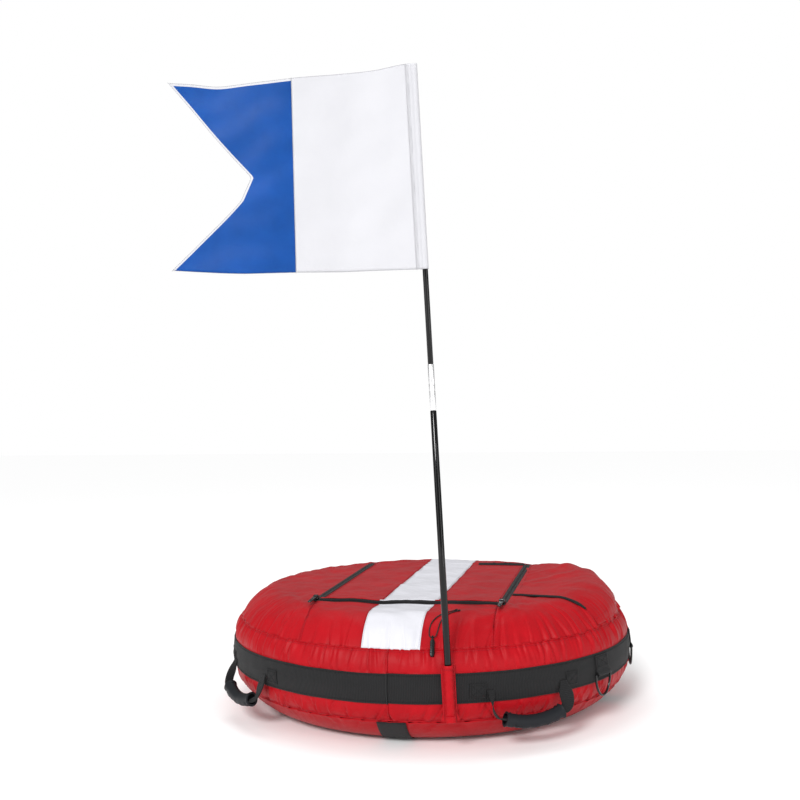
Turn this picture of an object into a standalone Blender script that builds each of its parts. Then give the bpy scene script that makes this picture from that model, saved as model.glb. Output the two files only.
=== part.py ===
"""A dive flag float: a round inflated float in a fabric cover, with a two-part pole and a flag.

The origin is on the floor under the middle of the float. +Z is up, the flag pole stands at the
front (-Y), and angles round the rim are counted from the front towards +X.
"""
from math import asin, ceil, cos, floor, hypot, pi, radians, sin, tan

import bmesh
import bpy
from mathutils import Matrix, Vector

for old in list(bpy.data.objects):
    bpy.data.objects.remove(old)

# Driving sizes of the float, in metres
FLOAT_RADIUS = 0.400
FLOAT_HEIGHT = 0.2257
RIM_HEIGHT = 0.1100
TOP_FLAT_RADIUS = 0.308
BOTTOM_FLAT_RADIUS = 0.303
CROWN_POWER = 1.87
FACETS = 60

# Cloth, webbing and the clearances between pieces that touch
COVER_CLOTH = 0.0010
WEBBING = 0.0015
WEBBING_WIDTH = 0.052
SEAM_GAP = 0.0003
SEAT_GAP = 0.0003
UPPER_SEAM_HEIGHT = 0.1735
LOWER_SEAM_HEIGHT = 0.0505

# Inner tube
TUBE_WALL = 0.0015
TUBE_INNER_SIDES = 5
VALVE_STEM_RADIUS = 0.0042
VALVE_STEM_LENGTH = 0.034
VALVE_FOOT_RADIUS = 0.012
VALVE_FOOT_HEIGHT = 0.003
VALVE_NECK_RADIUS = 0.0055
VALVE_CAP_RADIUS = 0.0058
VALVE_CAP_LENGTH = 0.012
VALVE_CAP_TOP = 0.002
VALVE_ANGLE = radians(150)
VALVE_SIDES = 16

# Lid, white stripe and zip
LID_WIDTH = 0.354
LID_LENGTH = 0.455
STRIPE_WIDTH = 0.105
ZIP_WIDTH = 0.014
ZIP_HEIGHT = 0.0020
ZIP_RETURN_WIDTH = 0.010
ZIP_RETURN_START = 0.068
LID_GAP = 0.0005
CORNER_SEAM_ANGLE = radians(27)
SLIDER_WIDTH = 0.012
SLIDER_LENGTH = 0.021
SLIDER_HEIGHT = 0.006
SLIDER_INSET = 0.006
SLIDER_BEVEL = 0.0015
BAIL_PIN_RADIUS = 0.0012
BAIL_PIN_RISE = 0.0030
PULL_LENGTH = 0.047
PULL_WIDTH = 0.008
PULL_THICKNESS = 0.0025
PULL_DROOP = radians(3.5)

# Side pocket
POCKET_START = radians(66)
POCKET_END = radians(144)
POCKET_FRONT_SEAM = -0.130
POCKET_BACK_SEAM = 0.207
POCKET_RISE = 0.024
POCKET_ZIP_WIDTH = 0.005
POCKET_ZIP_THICKNESS = 0.0015

# Pole, its sleeve and ferrule
POLE_ANGLE = radians(15.2)
POLE_LEAN = radians(2.24)
POLE_FOOT_HEIGHT = 0.0600
LOWER_POLE_LENGTH = 0.526
LOWER_POLE_RADIUS = 0.0062
LOWER_POLE_TOP_RADIUS = 0.0053
FERRULE_LENGTH = 0.078
FERRULE_RADIUS = 0.0053
SPIGOT_RADIUS = 0.0038
SPIGOT_LENGTH = 0.036
UPPER_POLE_LENGTH = 0.505
UPPER_POLE_RADIUS = 0.0048
UPPER_POLE_TOP_RADIUS = 0.0043
POLE_CLEARANCE = 0.0004
POLE_SIDES = 16
SLEEVE_WIDTH = 0.0245
SLEEVE_LENGTH = 0.097
SLEEVE_FLOOR = 0.003
SLEEVE_FLANGE = 0.0016

# Flag
FLAG_HOIST = 0.347
FLAG_FLY = 0.424
FLAG_CLOTH = 0.0008
FLAG_WAVE = 0.007
HEM_WALL = 0.0008
HEM_TAIL = 0.0135
HEM_TOP_MARGIN = 0.0025

# Handles
HANDLE_SPAN = 0.144
HANDLE_DROP = 0.050
HANDLE_STRAP_WIDTH = 0.025
HANDLE_TAB_LENGTH = 0.030
HANDLE_TILT = radians(22)
HANDLE_PIVOT_HEIGHT = 0.105
GRIP_LENGTH = 0.112
GRIP_RADIUS = 0.0130
GRIP_WALL = 0.0035
GRIP_BOW = 0.010
HANDLE_LEAD = 0.006
HANDLE_ANGLES = (radians(35.6), radians(131.0), radians(215.6), radians(311.0))

# D-rings
RING_WIRE = 0.0045
RING_WIDTH = 0.054
RING_DROP = 0.042
RING_BAR_HEIGHT = 0.0985
RING_ANGLES = (radians(61.5), radians(97.5), radians(241.5), radians(277.5))
TAB_HEIGHT = 0.034
TAB_THICKNESS = 0.0022
TAB_WIDTH = 0.042
TAB_LOOP_WALL = 0.0015

# Pull cord and its toggle
CORD_DIAMETER = 0.0020
TOGGLE_WIDTH = 0.0080
TOGGLE_THICKNESS = 0.0060
TOGGLE_LENGTH = 0.034

# How finely the small rounds and runs are made
TOGGLE_SIDES = 8
GRIP_STEPS = 6
GRIP_RESOLUTION = 4
GRIP_SIDES = 2 * GRIP_RESOLUTION + 4
RING_STEPS = 10
FLAG_COLUMNS = 8
ROUTE_FINENESS = 12

# The flag's ripple: how many waves along it, how fast it grows and how far it leans
FLAG_WAVES = 1.35
FLAG_RAMP = 3.0
FLAG_TWIST = 1.2

# The pull cord's route over the top, in metres from the middle of the float
CORD_LEFT_PLACES = ((0.1030, -0.2930), (0.0940, -0.3030), (0.0820, -0.3150), (0.0730, -0.3280),
                    (0.0670, -0.3410), (0.0650, -0.3530))
CORD_RIGHT_PLACES = ((0.0795, -0.3530), (0.0810, -0.3400), (0.0850, -0.3270), (0.0910, -0.3150),
                     (0.1000, -0.3040), (0.1085, -0.2960))
CORD_TOGGLE_PLACE = (0.0722, -0.3640)
CORD_TOGGLE_END = (0.0738, -0.3840)
CORD_STEP = 2 * CORD_DIAMETER
CORD_BEND_RADIUS = 2.25 * CORD_DIAMETER

# Turns a section drawn as (radius, height) to stand outwards at the front of the float
SECTION_TURN = Matrix(((0, 0, -1, 0), (-1, 0, 0, 0), (0, 1, 0, 0), (0, 0, 0, 1)))

# Places worked out from the driving sizes
FACET = 2 * pi / FACETS
COVER_TOP = FLOAT_HEIGHT
COVER_BOTTOM = WEBBING + SEAT_GAP
SEAM_TURN = 2 * SEAM_GAP / (COVER_TOP - RIM_HEIGHT)
SEAM_SLIT = 2 * SEAM_GAP / FLOAT_RADIUS
BAND_FACE = FLOAT_RADIUS + SEAT_GAP + WEBBING
OPENING_HALF_WIDTH = (LID_WIDTH - ZIP_WIDTH) / 2
OPENING_FRONT = (ZIP_WIDTH - LID_LENGTH) / 2
OPENING_BACK = LID_LENGTH / 2
POLE_STANDOFF = LOWER_POLE_RADIUS + POLE_CLEARANCE + COVER_CLOTH

# Shares that place rows of points between named sizes
FLAT_ROW_SHARES = (0.0, 0.5, 1.0)
CROWN_TURN_SHARES = (0.27, 0.54, 0.78, 1.0)
LEAST_FLAT_SHARE = 0.35
BOTTOM_ROW_SHARES = (0.0, 0.34, 0.68, 1.0)
TUBE_INNER_REACH_SHARE = 0.37
FLAG_ROW_SHARES = (0.0, 0.12, 0.24, 0.37, 0.486, 0.62, 0.75, 0.88, 1.0)
FLAG_TOP_EDGE_SHARES = ((0.0, 1.0), (0.115, 0.978), (0.49, 0.945), (0.73, 0.931), (0.78, 0.93),
                        (0.88, 0.948), (1.0, 0.954))
FLAG_BOTTOM_EDGE_SHARES = ((0.0, 0.0), (0.5, 0.0135), (0.7, 0.019), (0.79, 0.028), (1.0, 0.057))
FLAG_REACH_SHARES = ((0.0, 1.0), (0.37, 0.708), (0.486, 0.66), (1.0, 0.957))
FLAG_SEAM_SHARES = ((0.0, 0.512), (1.0, 0.487))
POCKET_CROWN_SHARES = ((0.0, 0.0), (0.28, 0.3), (0.5, 0.62), (0.69, 1.0), (0.83, 1.0), (0.92, 0.56),
                       (1.0, 0.0))
POCKET_LENGTH_SHARES = ((0.0, 0.0), (0.12, 0.2), (0.4, 0.42), (0.54, 0.63), (0.66, 1.0), (0.77, 1.0),
                        (0.9, 0.6), (1.0, 0.0))
POCKET_FOOT_SHARE = 0.8
CHEEK_FACE_SHARE = 0.98
STRAP_NECK_SHARE = 0.8
RING_CORNER_SHARE = 0.6

# Colours as linear RGB
RED = (0.42, 0.012, 0.022)
WHITE = (0.82, 0.83, 0.86)
BLACK = (0.02, 0.02, 0.021)
BLUE = (0.018, 0.118, 0.52)
SILVER = (0.72, 0.73, 0.75)
BRASS = (0.55, 0.38, 0.14)


def lerp_table(table, share):
    """The value at one share along a table of (share, value) pairs."""
    for (low, first), (high, last) in zip(table, table[1:]):
        if share <= high:
            return first + (last - first) * (share - low) / (high - low)
    return table[-1][1]


def make_collection(name):
    collection = bpy.data.collections.new(name)
    bpy.context.scene.collection.children.link(collection)
    return collection


def make_material(name, colour, roughness, metallic=0.0):
    material = bpy.data.materials.new(name)
    material.use_nodes = True
    shader = material.node_tree.nodes["Principled BSDF"]
    shader.inputs["Base Color"].default_value = (*colour, 1)
    shader.inputs["Roughness"].default_value = roughness
    shader.inputs["Metallic"].default_value = metallic
    return material


def add_object(name, mesh, material, place=None, parent=None):
    """Links a mesh to the float's collection, in world space or under a joint's empty."""
    obj = bpy.data.objects.new(name, mesh)
    PARTS.objects.link(obj)
    mesh.materials.append(material)
    if place is not None:
        obj.matrix_world = place
    if parent is not None:
        obj.parent = parent
    return obj


def add_joint_empty(name, place, parent=None):
    empty = bpy.data.objects.new(name, None)
    PARTS.objects.link(empty)
    empty.empty_display_size = ZIP_WIDTH
    empty.matrix_world = place
    if parent is not None:
        empty.parent = parent
    return empty


def shade(mesh, angle=radians(35)):
    mesh.shade_smooth()
    mesh.set_sharp_from_angle(angle=angle)


def thicken(obj, thickness, offset):
    """Solidify: offset -1 grows inwards from the outer face, and +1 outwards."""
    shell = obj.modifiers.new("thickness", "SOLIDIFY")
    shell.thickness = thickness
    shell.offset = offset
    return shell


def grid_mesh(name, rows):
    """A sheet of quads through rows of points; its face looks along (row step) x (column step)."""
    columns = len(rows[0])
    points = [point for row in rows for point in row]
    faces = [
        (i * columns + j, (i + 1) * columns + j, (i + 1) * columns + j + 1, i * columns + j + 1)
        for i in range(len(rows) - 1)
        for j in range(columns - 1)
    ]
    mesh = bpy.data.meshes.new(name)
    mesh.from_pydata(points, [], faces)
    shade(mesh)
    return mesh


def line_mesh(name, points):
    mesh = bpy.data.meshes.new(name)
    mesh.from_pydata(points, [(i, i + 1) for i in range(len(points) - 1)], [])
    return mesh


def turned(name, profile, material, steps, place=None, parent=None, angle=2 * pi):
    """A profile of (radius, height) points, given down its outer side, turned about its Z axis."""
    obj = add_object(name, line_mesh(name, [(r, 0, z) for r, z in profile]), material, place, parent)
    screw = obj.modifiers.new("turn", "SCREW")
    screw.angle = angle
    screw.steps = steps
    screw.render_steps = steps
    screw.use_merge_vertices = angle == 2 * pi
    screw.merge_threshold = SEAT_GAP / 10
    screw.use_smooth_shade = True
    return obj


def box_mesh(name, low, high):
    bm = bmesh.new()
    size = Vector(high) - Vector(low)
    middle = (Vector(high) + Vector(low)) / 2
    bmesh.ops.create_cube(bm, size=1, matrix=Matrix.Translation(middle) @ Matrix.Diagonal((*size, 1)))
    mesh = bpy.data.meshes.new(name)
    bm.to_mesh(mesh)
    bm.free()
    return mesh


def rod_mesh(name, start, end, radius, sides):
    """A closed round bar between two points."""
    start, end = Vector(start), Vector(end)
    turn = (end - start).to_track_quat("Z", "Y").to_matrix().to_4x4()
    bm = bmesh.new()
    bmesh.ops.create_cone(bm, cap_ends=True, segments=sides, radius1=radius, radius2=radius,
                          depth=(end - start).length,
                          matrix=Matrix.Translation((start + end) / 2) @ turn)
    mesh = bpy.data.meshes.new(name)
    bm.to_mesh(mesh)
    bm.free()
    return mesh


def solid_from_curve(curve, place=None):
    """The welded mesh of a curve, with the curve itself removed."""
    obj = bpy.data.objects.new(curve.name, curve)
    PARTS.objects.link(obj)
    bpy.context.view_layer.update()
    mesh = bpy.data.meshes.new_from_object(obj.evaluated_get(bpy.context.evaluated_depsgraph_get()))
    bpy.data.objects.remove(obj)
    bm = bmesh.new()
    bm.from_mesh(mesh)
    bmesh.ops.remove_doubles(bm, verts=bm.verts, dist=SEAT_GAP / 20)
    if place is not None:
        bmesh.ops.transform(bm, matrix=place, verts=bm.verts)
    bm.to_mesh(mesh)
    bm.free()
    return mesh


def outline_mesh(name, outlines, half_depth, place=None):
    """Flat outlines, the first the outer one and the rest holes, extruded both ways along Z."""
    curve = bpy.data.curves.new(name, "CURVE")
    curve.dimensions = "2D"
    curve.fill_mode = "BOTH"
    curve.extrude = half_depth
    for outline in outlines:
        spline = curve.splines.new("POLY")
        spline.points.add(len(outline) - 1)
        for point, (x, y) in zip(spline.points, outline):
            point.co = (x, y, 0, 1)
        spline.use_cyclic_u = True
    return solid_from_curve(curve, place)


def wire_mesh(name, points, radius, resolution, cyclic=False, capped=True):
    """A round wire or tube along a line of points."""
    curve = bpy.data.curves.new(name, "CURVE")
    curve.dimensions = "3D"
    curve.bevel_depth = radius
    curve.bevel_resolution = resolution
    curve.use_fill_caps = capped and not cyclic
    spline = curve.splines.new("POLY")
    spline.points.add(len(points) - 1)
    for point, place in zip(spline.points, points):
        point.co = (*place, 1)
    spline.use_cyclic_u = cyclic
    mesh = solid_from_curve(curve)
    shade(mesh)
    return mesh


def boolean(obj, mesh, operation, name):
    """Joins or cuts obj by a helper mesh given in obj's own space."""
    tool = bpy.data.objects.new(name, mesh)
    CUTTERS.objects.link(tool)
    tool.hide_render = True
    tool.display_type = "WIRE"
    tool.matrix_world = obj.matrix_world
    if obj.parent is not None:
        tool.parent = obj.parent
    modifier = obj.modifiers.new(name, "BOOLEAN")
    modifier.operation = operation
    modifier.object = tool
    return modifier


def arc(centre, radius, start, end, steps):
    """Points along an arc, both ends included."""
    angles = [start + (end - start) * i / steps for i in range(steps + 1)]
    return [(centre[0] + radius * cos(a), centre[1] + radius * sin(a)) for a in angles]


def rim_place(angle, radius=0.0, height=0.0):
    """A frame at the rim: X runs along the rim, Y points to the middle and Z up."""
    turn = Matrix.Rotation(angle, 4, "Z")
    return turn @ Matrix.Translation((0, -radius, height))


# The cover's form: flat top and bottom, with a crowned rim between them

def cover_point(turn, distance=0.0):
    """(radius, height) on the cover's outer face, moved out along its normal by a distance."""
    def on_face(angle):
        flat = TOP_FLAT_RADIUS if angle >= 0 else BOTTOM_FLAT_RADIUS
        rise = COVER_TOP - RIM_HEIGHT if angle >= 0 else COVER_BOTTOM - RIM_HEIGHT
        angle = min(abs(angle), pi / 2)
        reach = max(cos(angle), 0.0) ** (2 / CROWN_POWER)
        return flat + (FLOAT_RADIUS - flat) * reach, RIM_HEIGHT + rise * sin(angle) ** (2 / CROWN_POWER)

    radius, height = on_face(turn)
    if distance == 0.0:
        return radius, height
    if abs(turn) > pi / 2 - SEAM_TURN:
        return radius, height + (distance if turn > 0 else -distance)
    below, above = on_face(turn - SEAM_TURN), on_face(turn + SEAM_TURN)
    run, rise = above[0] - below[0], above[1] - below[1]
    length = hypot(run, rise)
    return radius + distance * rise / length, height - distance * run / length


def turn_at(height):
    """The turn at which the cover's outer face reaches a height."""
    rise = (COVER_TOP if height >= RIM_HEIGHT else COVER_BOTTOM) - RIM_HEIGHT
    turn = asin(((height - RIM_HEIGHT) / rise) ** (CROWN_POWER / 2))
    return turn if height >= RIM_HEIGHT else -turn


def top_height(radius):
    """The cover's height over a point of its top, by that point's radius."""
    if radius <= TOP_FLAT_RADIUS:
        return COVER_TOP
    share = min((radius - TOP_FLAT_RADIUS) / (FLOAT_RADIUS - TOP_FLAT_RADIUS), 1.0)
    return RIM_HEIGHT + (COVER_TOP - RIM_HEIGHT) * (1 - share ** CROWN_POWER) ** (1 / CROWN_POWER)


def over_top(x, y, distance):
    """A point a distance out from the top's face, over (x, y)."""
    radius = hypot(x, y)
    slope = (top_height(radius + SEAT_GAP) - top_height(radius - SEAT_GAP)) / (2 * SEAT_GAP)
    outward = Vector((-slope * x / radius, -slope * y / radius, 1)).normalized()
    return Vector((x, y, top_height(radius))) + outward * distance


def rim_point(radius, angle, height):
    """A point on the ring of flat facets at this radius, as the turned panels have it."""
    off_middle = angle % FACET - FACET / 2
    reach = radius * cos(FACET / 2) / cos(off_middle)
    return Vector((reach * sin(angle), -reach * cos(angle), height))


UPPER_SEAM_TURN = turn_at(UPPER_SEAM_HEIGHT)
LOWER_SEAM_TURN = turn_at(LOWER_SEAM_HEIGHT)
BAND_TOP_TURN = turn_at(RIM_HEIGHT + WEBBING_WIDTH / 2)
BAND_BOTTOM_TURN = turn_at(RIM_HEIGHT - WEBBING_WIDTH / 2)
BOTTOM_TURNS = [LOWER_SEAM_TURN + (-pi / 2 - LOWER_SEAM_TURN) * share for share in BOTTOM_ROW_SHARES]


def band_face(height):
    """The radius of the rim band's outer face at a height on the band."""
    edge = BAND_TOP_TURN if height >= RIM_HEIGHT else BAND_BOTTOM_TURN
    radius, edge_height = cover_point(edge)
    share = (height - RIM_HEIGHT) / (edge_height - RIM_HEIGHT)
    return BAND_FACE + (radius - FLOAT_RADIUS) * share


def make_side_and_bottom():
    """The tall side strip, the bottom panel, the rim band and the straps under the float."""
    front = Matrix.Rotation(-pi / 2, 4, "Z")
    side_turns = (UPPER_SEAM_TURN, BAND_TOP_TURN, 0.0, BAND_BOTTOM_TURN, LOWER_SEAM_TURN)
    side = turned("side_panel", [cover_point(turn) for turn in side_turns], RED_CLOTH, FACETS, front,
                  angle=2 * pi - SEAM_SLIT)
    thicken(side, COVER_CLOTH, -1)
    band_turns = (BAND_TOP_TURN, 0.0, BAND_BOTTOM_TURN)
    band = turned("rim_band", [cover_point(turn, SEAT_GAP) for turn in band_turns], WEBBING_BLACK,
                  FACETS, front, angle=2 * pi - SEAM_SLIT)
    thicken(band, WEBBING, 1)
    bottom_rows = [cover_point(BOTTOM_TURNS[0] - SEAM_TURN)]
    bottom_rows += [cover_point(turn) for turn in BOTTOM_TURNS[1:]] + [(0, COVER_BOTTOM)]
    bottom = turned("bottom_panel", bottom_rows, RED_CLOTH, FACETS, front)
    thicken(bottom, COVER_CLOTH, -1)
    make_strap("bottom_strap", 0.0, None)
    make_strap("bottom_strap_right", pi / 2, WEBBING_WIDTH / 2 + SEAM_GAP)
    make_strap("bottom_strap_left", -pi / 2, WEBBING_WIDTH / 2 + SEAM_GAP)


def make_strap(name, angle, inner_end):
    """Webbing sewn under the float from the lower seam, to an inner end or right across."""
    half = WEBBING_WIDTH / 2
    columns = (-half, 0.0, half)

    def row(radius, height):
        return [Vector((x, -(radius - abs(x) * tan(FACET / 2)), height)) for x in columns]

    turns = [BOTTOM_TURNS[0] - 2 * SEAM_TURN] + BOTTOM_TURNS[1:]
    rows = [row(*cover_point(turn, SEAT_GAP)) for turn in turns]
    if inner_end is None:
        rows += [[Vector((x, -y, z)) for x, y, z in line] for line in reversed(rows)]
    else:
        rows.append([Vector((x, -inner_end, COVER_BOTTOM - SEAT_GAP)) for x in columns])
    strap = add_object(name, grid_mesh(name, rows), WEBBING_BLACK, Matrix.Rotation(angle, 4, "Z"))
    thicken(strap, WEBBING, 1)


# The top: panels between the lid's opening and the upper seam

def top_keys():
    """(outer angle, inner point) where the top's seams and the pocket's ends lie, once round."""
    half = STRIPE_WIDTH / 2
    stripe = asin(half / cover_point(UPPER_SEAM_TURN)[0])
    corner = CORNER_SEAM_ANGLE
    wide, front, back = OPENING_HALF_WIDTH, OPENING_FRONT, OPENING_BACK
    right = [
        (stripe, (half, front)),
        (corner, (wide, front)),
        (POCKET_START, (wide, POCKET_FRONT_SEAM)),
        (POCKET_END, (wide, POCKET_BACK_SEAM)),
        (pi - corner, (wide, back)),
        (pi - stripe, (half, back)),
    ]
    left = [(2 * pi - angle, (-x, y)) for angle, (x, y) in reversed(right)]
    wrap = [(stripe + 2 * pi, (half, front))]
    return right + left + wrap


TOP_KEYS = top_keys()


def opening_point(angle):
    """The point of the opening's edge that faces an angle of the upper seam."""
    for (low, first), (high, last) in zip(TOP_KEYS, TOP_KEYS[1:]):
        if low <= angle <= high:
            share = (angle - low) / (high - low)
            return Vector((first[0] + (last[0] - first[0]) * share, first[1] + (last[1] - first[1]) * share))
    return opening_point(angle + 2 * pi)


def column_ends(angle):
    """The ends of a line across the top: at the opening's edge and at the upper seam."""
    radius, height = cover_point(UPPER_SEAM_TURN + SEAM_TURN)
    return opening_point(angle), rim_point(radius, angle, height)


def row_shares(angle):
    """Shares of the way to the upper seam: even steps over the flat, then turns over the crown."""
    inner, outer = column_ends(angle)
    run = outer.xy - inner
    slope, rest = inner.dot(run), inner.length_squared - TOP_FLAT_RADIUS ** 2
    root = max(slope ** 2 - run.length_squared * rest, 0.0) ** 0.5
    flat = max((root - slope) / run.length_squared, LEAST_FLAT_SHARE)
    seam_radius = cover_point(UPPER_SEAM_TURN)[0]
    shares = [flat * share for share in FLAT_ROW_SHARES]
    for turn_share in CROWN_TURN_SHARES:
        radius = cover_point(pi / 2 + (UPPER_SEAM_TURN - pi / 2) * turn_share)[0]
        crown = (radius - TOP_FLAT_RADIUS) / (seam_radius - TOP_FLAT_RADIUS)
        shares.append(flat + (1 - flat) * crown)
    return shares


def top_column(angle, distance=0.0, shares=None):
    """Points from the opening's edge out to the upper seam."""
    inner, outer = column_ends(angle)
    shares = shares or row_shares(angle)
    points = []
    for share in shares:
        x = inner.x + (outer.x - inner.x) * share
        y = inner.y + (outer.y - inner.y) * share
        points.append(over_top(x, y, distance))
    if len(shares) > 1:
        points[-1] += outer - over_top(outer.x, outer.y, 0.0)
    return points


def facet_angles(start, end):
    """The start and end angles, with every facet edge between them."""
    first = int(ceil(start / FACET + FACET / 10))
    last = int(floor(end / FACET - FACET / 10))
    return [start] + [FACET * i for i in range(first, last + 1)] + [end]


def make_top():
    """Six red panels and the two ends of the white stripe."""
    edges = [TOP_KEYS[i][0] for i in (0, 1, 4, 5, 6, 7, 10, 11, 12)]
    names = (
        "top_panel_front_right", "top_panel_right", "top_panel_back_right", "stripe_back",
        "top_panel_back_left", "top_panel_left", "top_panel_front_left", "stripe_front",
    )
    slip = SEAM_GAP / FLOAT_RADIUS
    for name, start, end in zip(names, edges, edges[1:]):
        columns = [top_column(angle) for angle in facet_angles(start + slip, end - slip)]
        rows = [list(row) for row in zip(*columns)]
        material = WHITE_CLOTH if name.startswith("stripe") else RED_CLOTH
        panel = add_object(name, grid_mesh(name, rows), material)
        thicken(panel, COVER_CLOTH, -1)


def make_inner_tube():
    """The rubber tube, whose outer side follows the cover and whose inner side is round."""
    wall = COVER_CLOTH + SEAT_GAP
    outer_turns = [UPPER_SEAM_TURN, BAND_TOP_TURN, 0.0, BAND_BOTTOM_TURN] + BOTTOM_TURNS
    drop = 4 * SEAT_GAP
    top_turns = [pi / 2, (pi / 2 + UPPER_SEAM_TURN) / 2]
    outer = []
    for turn in top_turns + outer_turns:
        radius, height = cover_point(turn, -wall - (drop if turn > LOWER_SEAM_TURN else 0.0))
        outer.append((radius, height))
    low, high = outer[-1][1], outer[0][1]
    middle, rise = (low + high) / 2, (high - low) / 2
    reach = TUBE_INNER_REACH_SHARE * BOTTOM_FLAT_RADIUS
    inner = []
    for i in range(1, TUBE_INNER_SIDES):
        angle = -pi / 2 - pi * i / TUBE_INNER_SIDES
        inner.append((BOTTOM_FLAT_RADIUS + reach * cos(angle), middle + rise * sin(angle)))
    profile = outer + inner
    mesh = line_mesh("inner_tube", [(r, 0, z) for r, z in profile + profile[:1]])
    tube = add_object("inner_tube", mesh, RUBBER, Matrix.Rotation(-pi / 2, 4, "Z"))
    screw = tube.modifiers.new("turn", "SCREW")
    screw.steps = FACETS // 2
    screw.render_steps = FACETS // 2
    screw.use_merge_vertices = True
    screw.merge_threshold = SEAT_GAP / 10
    weld = tube.modifiers.new("close_section", "WELD")
    weld.merge_threshold = SEAT_GAP / 10
    thicken(tube, TUBE_WALL, -1)
    inner_radius = BOTTOM_FLAT_RADIUS - reach * cos(pi / TUBE_INNER_SIDES / 2)
    make_valve(tube, inner_radius * cos(FACET), middle)


def make_valve(tube, wall_radius, height):
    """The filling valve on the tube's inner side: its foot on the wall, its neck through it."""
    inward = Matrix.Rotation(-pi / 2, 4, "X")
    place = rim_place(VALVE_ANGLE, wall_radius - SEAT_GAP, height) @ inward
    neck_end = -TUBE_WALL - 2 * VALVE_FOOT_HEIGHT
    turned("valve_stem", [
        (0, VALVE_STEM_LENGTH), (VALVE_STEM_RADIUS, VALVE_STEM_LENGTH),
        (VALVE_STEM_RADIUS, VALVE_FOOT_HEIGHT), (VALVE_FOOT_RADIUS, VALVE_FOOT_HEIGHT / 2),
        (VALVE_FOOT_RADIUS, 0), (VALVE_NECK_RADIUS, 0), (VALVE_NECK_RADIUS, neck_end), (0, neck_end),
    ], BRASS_METAL, VALVE_SIDES, place)
    hole = rod_mesh("valve_hole", (0, 0, neck_end), (0, 0, VALVE_FOOT_HEIGHT),
                    VALVE_NECK_RADIUS + SEAT_GAP, VALVE_SIDES)
    hole.transform(tube.matrix_world.inverted() @ place)
    boolean(tube, hole, "DIFFERENCE", "valve_hole")
    axis = add_joint_empty("valve_cap_axis", place)
    bore = VALVE_STEM_RADIUS + SEAT_GAP
    tip = VALVE_STEM_LENGTH + SEAT_GAP
    skirt = tip + VALVE_CAP_TOP - VALVE_CAP_LENGTH
    turned("valve_cap", [
        (0, tip + VALVE_CAP_TOP), (VALVE_CAP_RADIUS, tip + VALVE_CAP_TOP), (VALVE_CAP_RADIUS, skirt),
        (bore, skirt), (bore, tip), (0, tip),
    ], BLACK_PLASTIC, VALVE_SIDES, None, axis)


# The lid, its zip and the sliders

def make_lid():
    """The lid's three cloths, which lift together about the back seam."""
    hinge = add_joint_empty("lid_hinge", Matrix.Translation((0, OPENING_BACK, COVER_TOP)))
    wide = OPENING_HALF_WIDTH - LID_GAP
    front = OPENING_FRONT + LID_GAP - OPENING_BACK
    half, gap = STRIPE_WIDTH / 2, SEAM_GAP / 2
    cloths = (
        ("lid_panel_left", -wide, -half - gap, RED_CLOTH),
        ("lid_stripe", -half + gap, half - gap, WHITE_CLOTH),
        ("lid_panel_right", half + gap, wide, RED_CLOTH),
    )
    for name, low, high, material in cloths:
        mesh = box_mesh(name, (low, front, -COVER_CLOTH), (high, -LID_GAP, 0))
        add_object(name, mesh, material, None, hinge)


def make_zip():
    """The zip round the lid: left, front and right runs, and its end turned along the back."""
    inner, outer = OPENING_HALF_WIDTH, OPENING_HALF_WIDTH + ZIP_WIDTH
    front = OPENING_FRONT - ZIP_WIDTH
    turn_low = OPENING_BACK + ZIP_RETURN_WIDTH / 2
    turn_high = turn_low + ZIP_RETURN_WIDTH
    outline = [
        (-outer, front), (outer, front), (outer, turn_high), (ZIP_RETURN_START, turn_high),
        (ZIP_RETURN_START, turn_low), (inner, turn_low), (inner, OPENING_FRONT),
        (-inner, OPENING_FRONT), (-inner, OPENING_BACK), (-outer, OPENING_BACK),
    ]
    place = Matrix.Translation((0, 0, COVER_TOP + SEAT_GAP + ZIP_HEIGHT / 2))
    mesh = outline_mesh("lid_zip", [outline], ZIP_HEIGHT / 2, place)
    add_object("lid_zip", mesh, BLACK_PLASTIC)
    for side, sign in (("left", -1), ("right", 1)):
        make_slider(side, sign * (OPENING_HALF_WIDTH + ZIP_WIDTH / 2))


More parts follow.
